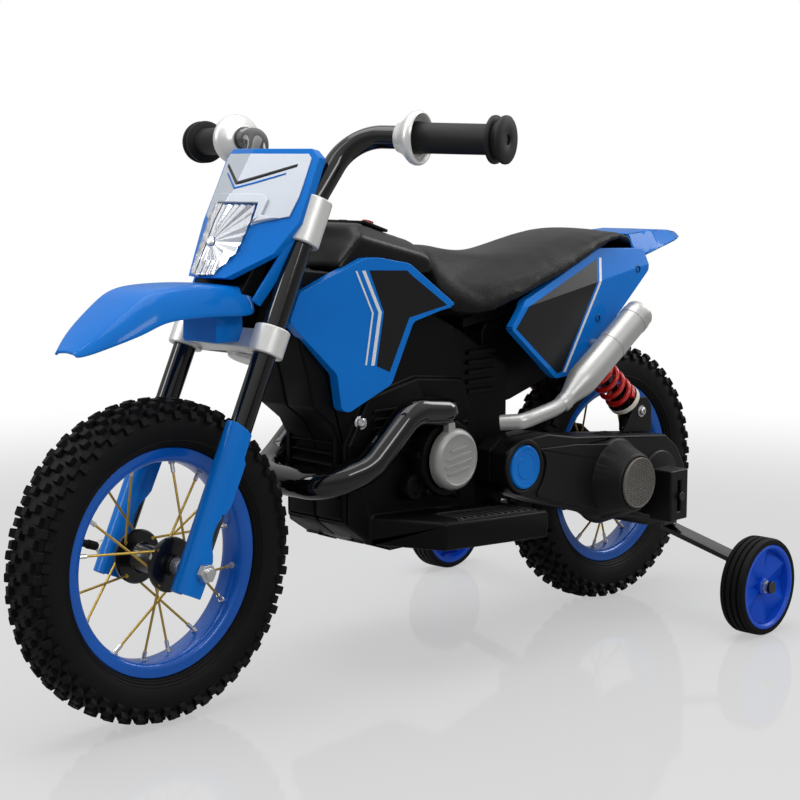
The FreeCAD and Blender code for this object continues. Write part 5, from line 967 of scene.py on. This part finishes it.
def makeEngine():
    shape = engineShape
    spot = Vector(shape["spot"])
    bm = bmesh.new()
    addSpun(bm, shape["cap"], spot, (0, 1, 0), steps=72)
    lie = Matrix.Rotation(math.radians(-90), 4, "X") @ Matrix.Rotation(math.radians(shape["barLean"]), 4, "Z")
    for rise, half in shape["bars"]:
        place = Matrix.Translation((spot.x, spot.y + shape["barLift"], spot.z + rise))
        addBlock(bm, place @ lie, (half * 2, shape["barWidth"], shape["barHeight"]), shape["barTaper"])
    lugSpot, size, taper = shape["lug"]
    addBlock(bm, Matrix.Translation(spot + Vector(lugSpot)), size, taper)
    finishPiece("engineCaps", bm, capGrey, "engine_caps", both=True, edge=0.0004, sharp=50)
    bm = bmesh.new()  # clutch housing ring, bolts, fins and clips round the crank
    addSpun(bm, shape["ring"], spot, (0, 1, 0), steps=64)
    for number in range(shape["bolts"]):
        turn = math.radians(number * 360 / shape["bolts"] + shape["boltTurn"])
        foot = spot + Vector((math.sin(turn), 0, math.cos(turn))) * shape["boltRadius"]
        addSpun(bm, shape["bolt"], foot, (0, 1, 0), steps=16)
    for count, (along, across, low), pitch, size, taper in shape["stacks"]:
        for number in range(count):
            addBlock(bm, Matrix.Translation((along, across, low + number * pitch)), size, taper)
    addSpun(bm, shape["plug"], Vector(shape["plugSpot"]), (0, 1, 0), steps=32)
    finishPiece("engineDetail", bm, bodyBlack, body="frame", both=True, edge=0.0006)


makeEngine()

louvreShape = {"count": 6, "pitch": 0.0105, "along": 0.131, "low": 0.190, "turn": 0.5,
               "size": (0.009, 0.062, 0.0028), "cheekAlong": 0.1315, "cheekTrack": 0.034, "cheekLow": 0.186,
               "cheekSize": (0.010, 0.005, 0.068), "taper": 0.95}
shape = louvreShape
bm = bmesh.new()  # radiator louvres between two cheeks, on the front face behind the pipe
for number in range(shape["count"]):
    spot = Matrix.Translation((shape["along"], 0, shape["low"] + number * shape["pitch"]))
    addBlock(bm, spot @ Matrix.Rotation(shape["turn"], 4, "Y"), shape["size"], shape["taper"])
for side in (1, -1):
    spot = Matrix.Translation((shape["cheekAlong"], side * shape["cheekTrack"], shape["cheekLow"]))
    addBlock(bm, spot, shape["cheekSize"], shape["taper"])
finishPiece("radiatorLouvres", bm, bodyBlack, body="frame", edge=0.0006)

screwShape = {"profile": [(-0.001, 0.0068), (0.0008, 0.0068), (0.001, 0.0048), (0.0036, 0.0044),
                          (0.0044, 0.0034), (0.0044, 0.0016), (0.003, 0.0014), (0.003, 0)],
              "bodyScrews": ("frame", (0.1105, 0.0445, 0.262), (0.25, 0.95, 0.15)),
              "shockScrews": ("swingarm", (-0.330, 0.064, 0.2305), (0, 1, 0))}
for name in ("bodyScrews", "shockScrews"):
    body, spot, way = screwShape[name]
    bm = bmesh.new()
    addSpun(bm, screwShape["profile"], Vector(spot), way, steps=24)
    finishPiece(name, bm, zincSteel, body=body, both=True)
print("body dressed")

# Exhausts: a thin link pipe into a long round can
exhaustShape = {
    "port": Vector((-0.068, 0.074, 0.246)), "inlet": Vector((-0.082, 0.094, 0.248)),
    "knee": Vector((-0.142, 0.095, 0.258)), "mouth": Vector((-0.282, 0.095, 0.351)), "pipe": 0.0084,
    # shares of the way between them where the pipe's route has more points
    "portShares": (0.7, 1), "linkShares": (0.45, 0.85), "bendShares": (0.04, 0.12),
    "stayShare": 0.64, "stayReach": 0.0285, "stayRadius": 0.005,
    "can": [(0.000, 0.0084), (0.004, 0.0096), (0.010, 0.0100), (0.012, 0.0094), (0.018, 0.0102),
            (0.040, 0.0162), (0.046, 0.0168), (0.050, 0.0169), (0.104, 0.0169), (0.1042, 0.0174),
            (0.111, 0.0174), (0.1112, 0.0169), (0.150, 0.0169), (0.1502, 0.0174), (0.158, 0.0174),
            (0.1584, 0.0168), (0.166, 0.0165), (0.168, 0.0155), (0.168, 0.0112), (0.160, 0.0108),
            (0.150, 0.0100), (0.150, 0.0)],
}
shape = exhaustShape
port, inlet, knee = shape["port"], shape["inlet"], shape["knee"]
bend = shape["mouth"] - knee
route = [port] + [port.lerp(inlet, share) for share in shape["portShares"]]
route += [inlet.lerp(knee, share) for share in shape["linkShares"]]
route += [knee + bend * share for share in shape["bendShares"]]
bm = tubeAlong(route, shape["pipe"], sides=8)
addSpun(bm, shape["can"], knee, bend, steps=56)
stay = knee.lerp(shape["mouth"], shape["stayShare"])
addRod(bm, stay, stay - Vector((0, shape["stayReach"], 0)), shape["stayRadius"])
finishPiece("exhausts", bm, canSilver, "exhausts", both=True, sharp=44)
print("exhausts rolled")

# Rear end
for node, finish, edge in (("gearbox_case", armBlack, 0.002), ("gearbox_cover", armBlack, 0.003),
                           ("swingarm_right", armBlack, 0.003), ("motor", zincSteel, 0.001),
                           ("pivot_shafts", zincSteel, 0.0004),
                           ("idler_gear", gearNylon, 0.0), ("motor_pinion", zincSteel, 0.0),
                           ("shock_bodies", glossBlack, 0.0006), ("shock_rods", glossBlack, 0.0008),
                           ("shock_mounts", bodyBlack, 0.0016), ("stabilizer_arms", glossBlack, 0.0008),
                           ("stabilizer_brackets", armBlack, 0.002)):
    softened(node + "_skin", node, finish, edge)

pivotShape = {
    "capFace": 0.0864, "ringFace": 0.0858,
    "cap": [(0, 0.012), (0, 0.0235), (0.0026, 0.0235), (0.0036, 0.0226), (0.004, 0.0208), (0.0034, 0.0200),
            (0.0034, 0.0150), (0.0029, 0.0146), (0.0029, 0.0128), (0.0034, 0.0124), (0.0036, 0)],
    "ring": [(0, 0.0245), (0.0026, 0.0248), (0.0034, 0.0262), (0.0034, 0.0288), (0.0022, 0.0302),
             (0, 0.0306)],
}
bm = bmesh.new()  # blue pivot caps with two pressed rings
addSpun(bm, pivotShape["cap"], swingPivot + Vector((0, pivotShape["capFace"], 0)), (0, 1, 0), steps=64)
finishPiece("pivotCaps", bm, bluePlastic, "pivot_caps", both=True, sharp=50)
bm = bmesh.new()  # raised rings round the pivot caps
spot = swingPivot + Vector((0, pivotShape["ringFace"], 0))
addSpun(bm, pivotShape["ring"], spot, (0, 1, 0), closed=True, steps=72)
finishPiece("pivotRings", bm, armBlack, body="swingarm", both=True, sharp=50)

armShape = {
    # outlines in millimetres along and upward
    "plate": [(-114, 214), (-180, 211.5), (-252, 204), (-270, 196), (-292, 172), (-294, 146), (-282, 122),
              (-250, 124), (-146, 152), (-112, 163), (-124, 178), (-129, 196), (-125, 208)],
    "face": 0.0857, "step": 0.0026, "corner": 0.005,
    "boss": [(0, 0.006), (0, 0.034), (0.002, 0.0336), (0.0032, 0.032), (0.0032, 0.006)],
    "gusset": [(-351, 204), (-296, 209), (-304, 219), (-314, 233), (-320, 243), (-326, 246.5), (-341, 246.5),
               (-350, 236)],
    "gussetFace": 0.0605, "gussetThick": 0.0036,
}


def sidePlate(outline, track, thick, corner=0.0):
    bm = bmesh.new()
    face = addFace(bm, [(along / 1000, track, rise / 1000) for along, rise in outline])
    if corner:
        bmesh.ops.bevel(bm, geom=face.verts[:], offset=corner, affect="VERTICES", segments=3, profile=0.5,
                        material=-1)
    thicken(bm, bm.faces[:], Vector((0, thick, 0)))
    return bm


shape = armShape
bm = sidePlate(shape["plate"], shape["face"], shape["step"], shape["corner"])  # raised faces on the arms
finishPiece("armSteps", bm, armBlack, body="swingarm", both=True, edge=0.0012)
bm = bmesh.new()  # bosses round the rear axle
addSpun(bm, shape["boss"], Vector((rearAxle.x, shape["face"], rearAxle.z)), (0, 1, 0), closed=True, steps=64)
finishPiece("axleBosses", bm, armBlack, body="swingarm", both=True, sharp=50)
bm = sidePlate(shape["gusset"], shape["gussetFace"], shape["gussetThick"])  # beside the lower shock eyes
finishPiece("shockGussets", bm, armBlack, body="swingarm", both=True, edge=0.001)

grilleShape = {"pitch": 0.0034, "wire": 0.00075, "turns": (30, 90, 150), "rim": 0.0022, "outerRound": 0.0006,
               "innerRound": 0.0005, "meshReach": 0.6, "meshSink": 0.0009, "shortest": 0.002,
               "backThick": 0.0004}


def makeGrille():
    # a rolled rim round a woven mesh, with a dark plate behind it as painted shade for the hollow behind the mesh
    shape = grilleShape
    spots = [vert.co for vert in frame["nodes"]["motor_grille"].data.vertices]
    inner, outer = min(spot.y for spot in spots), max(spot.y for spot in spots)
    radius = (max(spot.z for spot in spots) - min(spot.z for spot in spots)) / 2
    centre = Vector((motorSpot.x, 0, motorSpot.z))
    hole = radius - shape["rim"]
    bm = bmesh.new()
    addSpun(bm, [(inner, hole), (inner, radius), (outer - shape["outerRound"], radius),
                 (outer, radius - shape["outerRound"]), (outer, hole + shape["innerRound"]),
                 (outer - shape["innerRound"], hole)], centre, (0, 1, 0), closed=True, steps=72)
    reach = radius - shape["rim"] * shape["meshReach"]
    for turn in shape["turns"]:
        along = Vector((math.cos(math.radians(turn)), 0, math.sin(math.radians(turn))))
        across = Vector((-along.z, 0, along.x))
        count = int(reach / shape["pitch"])
        for number in range(-count, count + 1):
            shift = number * shape["pitch"]
            half = math.sqrt(max(reach ** 2 - shift ** 2, 0))
            if half > shape["shortest"]:
                spot = centre + across * shift + Vector((0, outer - shape["meshSink"], 0))
                addRod(bm, spot - along * half, spot + along * half, shape["wire"], sides=6)
    finishPiece("motorGrille", bm, grilleGrey, "motor_grille", sharp=50)
    # a black plate behind the mesh: painted shade for the hollow behind it
    bm = bmesh.new()
    back = inner + shape["backThick"]
    addSpun(bm, [(inner, 0), (inner, reach), (back, reach), (back, 0)], centre, (0, 1, 0), steps=48)
    finishPiece("grilleBackShade", bm, bodyBlack, body="swingarm")


makeGrille()

springShape = {"foot": Vector((-0.330, 0.052, 0.2305)), "head": Vector((-0.228, 0.052, 0.312)),
               "from": 0.0272, "to": 0.1104, "turns": 6, "turnSteps": 14, "closed": 0.06, "radius": 0.0158,
               "wire": 0.0030,
               "seat": [(0.0196, 0.0125), (0.0196, 0.0182), (0.0206, 0.0194), (0.0262, 0.0194),
                        (0.0268, 0.0188), (0.0268, 0.0125)]}
shape = springShape
way = (shape["head"] - shape["foot"]).normalized()
side = Vector((0, 1, 0))
other = way.cross(side)
coils = []
count = shape["turns"] * shape["turnSteps"]
for step in range(count + 1):
    share = step / count
    turn = 2 * math.pi * shape["turns"] * share
    climb = min(1.0, max(0.0, (share - shape["closed"]) / (1 - 2 * shape["closed"])))  # closed end turns
    along = shape["from"] + shape["wire"] + (shape["to"] - shape["from"] - 2 * shape["wire"]) * climb
    out = side * math.cos(turn) + other * math.sin(turn)
    coils.append(shape["foot"] + way * along + out * shape["radius"])
bm = tubeAlong(coils, shape["wire"], sides=4)
springs = finishPiece("shockSprings", bm, springRed, "shock_springs", both=True, sharp=70)
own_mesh(springs)
bm = bmesh.new()  # pale lower spring seats
addSpun(bm, shape["seat"], shape["foot"], way, closed=True, steps=48)
finishPiece("springSeats", bm, ivoryNylon, body=bodyOf["shock_rods"], both=True, sharp=50)
print("shocks sprung")

# Stabilizer wheels: a grooved solid tyre round a fan shaped hub
stabShape = {
    "spot": Vector((-0.319, 0.235, 0.054)),
    "tyre": [(-0.0146, 0.0472), (-0.0150, 0.0500), (-0.0142, 0.0525), (-0.0118, 0.0538), (-0.0088, 0.0540),
             (-0.0084, 0.0516), (-0.0064, 0.0516), (-0.0060, 0.0540), (-0.0014, 0.0540), (-0.0010, 0.0516),
             (0.0010, 0.0516), (0.0014, 0.0540), (0.0060, 0.0540), (0.0064, 0.0516), (0.0084, 0.0516),
             (0.0088, 0.0540), (0.0118, 0.0538), (0.0142, 0.0525), (0.0150, 0.0500), (0.0146, 0.0472)],
    "rim": [(-0.0140, 0.0415), (-0.0146, 0.0465), (-0.0138, 0.0470), (0.0138, 0.0470), (0.0147, 0.0464),
            (0.0146, 0.0436), (0.0120, 0.0418)],
    "boss": [(-0.0140, 0.0042), (-0.0140, 0.0090), (0.0085, 0.0092), (0.0105, 0.0078), (0.0105, 0.0042)],
    # heights of a blade's two edges, then radius and share of the height at its root and its tip
    "blades": 6, "bladeEdges": (0.0095, 0.001), "bladeEnds": ((0.00828, 0.6), (0.0422, 1.0)),
    "bladeThick": 0.004,
    "nut": [(0.0100, 0.0), (0.0100, 0.0075), (0.0112, 0.0075), (0.0116, 0.0060), (0.0150, 0.0056),
            (0.0158, 0.0044), (0.0158, 0.0)],
}


def makeStabilizerWheel(label, side):
    shape = stabShape
    spot = Vector((shape["spot"].x, side * shape["spot"].y, shape["spot"].z))
    bm = bmesh.new()
    addSpun(bm, shape["tyre"], spot, (0, side, 0), closed=True, steps=80)
    finishPiece("stabilizerTyre_" + label, bm, rubberBlack, "stabilizer_tyre_" + label, sharp=40)
    bm = bmesh.new()
    addSpun(bm, shape["rim"], spot, (0, side, 0), closed=True, steps=80)
    addSpun(bm, shape["boss"], spot, (0, side, 0), closed=True, steps=40)
    step = math.pi / shape["blades"]
    for number in range(shape["blades"] * 2):
        # every second blade slopes the other way
        first, last = shape["bladeEdges"] if number % 2 == 0 else reversed(shape["bladeEdges"])
        corners = []
        for turn, high in ((number * step, first), ((number + 1) * step, last)):
            for radius, share in shape["bladeEnds"]:
                lift = side * high * share
                corners.append(spot + Vector((math.sin(turn) * radius, lift, math.cos(turn) * radius)))
        blade = addFace(bm, [corners[index] for index in (0, 1, 3, 2)])
        thicken(bm, [blade], Vector((0, -side * shape["bladeThick"], 0)))
    finishPiece("stabilizerHub_" + label, bm, hubBlue, "stabilizer_hub_" + label, sharp=30)
    bm = bmesh.new()
    addSpun(bm, shape["nut"], spot, (0, side, 0), steps=6)
    finishPiece("stabilizerNut_" + label, bm, zincSteel, body="swingarm", sharp=30)


makeStabilizerWheel("left", 1)
makeStabilizerWheel("right", -1)
print("rear end dressed")


# Camera, light and floor
cameraShape = {"spot": (1.3490, 1.2965, 0.5255), "look": (-0.7124, -0.6887, -0.1354), "lens": 80.57,
               "sensor": 36}
camera = bpy.data.cameras.new("camera")
camera.lens = cameraShape["lens"]
camera.sensor_width = cameraShape["sensor"]
cameraSpot = bpy.data.objects.new("camera", camera)
scene.collection.objects.link(cameraSpot)
cameraSpot.location = cameraShape["spot"]
cameraSpot.rotation_euler = Vector(cameraShape["look"]).to_track_quat("-Z", "Y").to_euler()
scene.camera = cameraSpot
scene.view_settings.view_transform = "Standard"

lamps = {  # spot, aimed at, width, height, watts
    "overhead": ((0.1, -0.1, 2.3), (0, 0, 0.3), 2.0, 2.0, 30),
    "frontStrip": ((1.5, -0.9, 1.35), (0.15, 0, 0.35), 0.4, 1.5, 13),
    "sideStrip": ((0.3, 2.1, 1.5), (0, 0, 0.3), 1.4, 0.35, 11),
    "rearStrip": ((-1.7, 0.5, 1.4), (-0.2, 0, 0.35), 0.5, 1.3, 12),
}
strips = []
for name, (spot, aim, width, height, watts) in lamps.items():
    lamp = bpy.data.lights.new(name, "AREA")
    lamp.shape = "RECTANGLE"
    lamp.size, lamp.size_y = width, height
    lamp.energy = watts
    holder = bpy.data.objects.new(name, lamp)
    scene.collection.objects.link(holder)
    holder.location = spot
    holder.rotation_euler = (Vector(aim) - Vector(spot)).to_track_quat("-Z", "Y").to_euler()
    holder.visible_camera = False
    if name != "overhead":
        strips.append(holder)

# height of the aim from and to, strength of what gloss mirrors from and to, fill for gloss and for matt
worldShape = {"from": 0.05, "to": 0.7, "low": 0.28, "high": 0.9, "gloss": 0.3, "matt": 0.5}
world = bpy.data.worlds.new("studio")
scene.world = world
world.use_nodes = True
tree = world.node_tree
sky = tree.nodes["Background"]
sky.inputs["Color"].default_value = (1, 1, 1, 1)
path = tree.nodes.new("ShaderNodeLightPath")
aim = put(tree, "ShaderNodeSeparateXYZ", {0: tree.nodes.new("ShaderNodeTexCoord").outputs["Generated"]})
overhead = put(tree, "ShaderNodeMapRange", {
    "Value": aim.outputs["Z"], "From Min": worldShape["from"], "From Max": worldShape["to"],
    "To Min": worldShape["low"], "To Max": worldShape["high"]}, interpolation_type="SMOOTHSTEP")
seen = put(tree, "ShaderNodeMath", {0: path.outputs["Is Camera Ray"], 1: path.outputs["Is Transmission Ray"]},
           operation="MAXIMUM")
gloss = put(tree, "ShaderNodeMath", {0: path.outputs["Is Glossy Ray"], 1: overhead.outputs[0]},
            operation="MULTIPLY")
plain = put(tree, "ShaderNodeMapRange",
            {"Value": path.outputs["Is Diffuse Ray"], "To Min": worldShape["gloss"],
             "To Max": worldShape["matt"]})
shown = put(tree, "ShaderNodeMath", {0: seen.outputs[0], 1: gloss.outputs[0]}, operation="MAXIMUM")
level = put(tree, "ShaderNodeMath", {0: shown.outputs[0], 1: plain.outputs[0]}, operation="MAXIMUM")
tree.links.new(level.outputs[0], sky.inputs["Strength"])

floorShape = {"half": 9, "drop": 0.0006, "tone": (0.78, 0.78, 0.785, 1), "rough": 0.06, "ior": 1.6,
              "fadeFrom": 0.75, "fadeTo": 2.0, "pale": 0.78, "mirrored": 0.34, "covered": 0.6}
bm = bmesh.new()
bmesh.ops.create_grid(bm, x_segments=2, y_segments=2, size=floorShape["half"])
floorMesh = bpy.data.meshes.new("floor")
bm.to_mesh(floorMesh)
bm.free()
floor = bpy.data.objects.new("floor", floorMesh)
scene.collection.objects.link(floor)
floor.location.z = -floorShape["drop"]
unlit = bpy.data.collections.new("unlit")  # the floor mirrors none of the strips
unlit.objects.link(floor)
unlit.collection_objects[0].light_linking.link_state = "EXCLUDE"
for strip in strips:
    strip.light_linking.receiver_collection = unlit
floorFinish = bpy.data.materials.new("floorFinish")
floorFinish.use_nodes = True
tree = floorFinish.node_tree
shader = tree.nodes["Principled BSDF"]
shader.inputs["Base Color"].default_value = floorShape["tone"]
shader.inputs["Roughness"].default_value = floorShape["rough"]
shader.inputs["IOR"].default_value = floorShape["ior"]
where = tree.nodes.new("ShaderNodeTexCoord").outputs["Object"]
away = put(tree, "ShaderNodeVectorMath", {0: where}, operation="LENGTH")
fade = put(tree, "ShaderNodeMapRange", {"Value": away.outputs["Value"], "From Min": floorShape["fadeFrom"],
                                        "From Max": floorShape["fadeTo"]}, interpolation_type="SMOOTHSTEP")
path = tree.nodes.new("ShaderNodeLightPath")
pale = put(tree, "ShaderNodeMapRange",
           {"Value": fade.outputs[0], "To Min": floorShape["pale"], "To Max": 1.0})
dim = put(tree, "ShaderNodeMapRange", {"Value": path.outputs["Is Glossy Ray"], "To Min": 1.0,
                                       "To Max": floorShape["mirrored"]})
strength = put(tree, "ShaderNodeMath", {0: pale.outputs[0], 1: dim.outputs[0]}, operation="MULTIPLY")
glow = put(tree, "ShaderNodeEmission", {"Color": (1, 1, 1, 1), "Strength": strength.outputs[0]})
seen = put(tree, "ShaderNodeMath", {0: path.outputs["Is Camera Ray"], 1: path.outputs["Is Glossy Ray"]},
           operation="MAXIMUM")
seenToo = put(tree, "ShaderNodeMath", {0: seen.outputs[0], 1: path.outputs["Is Transmission Ray"]},
              operation="MAXIMUM")
lifted = put(tree, "ShaderNodeMapRange",
             {"Value": fade.outputs[0], "To Min": floorShape["covered"], "To Max": 1.0})
share = put(tree, "ShaderNodeMath", {0: seenToo.outputs[0], 1: lifted.outputs[0]}, operation="MULTIPLY")
blendIn = put(tree, "ShaderNodeMixShader", {0: share.outputs[0], 1: shader.outputs[0], 2: glow.outputs[0]})
tree.links.new(blendIn.outputs[0], tree.nodes["Material Output"].inputs["Surface"])
floorMesh.materials.append(floorFinish)
print("stage lit")
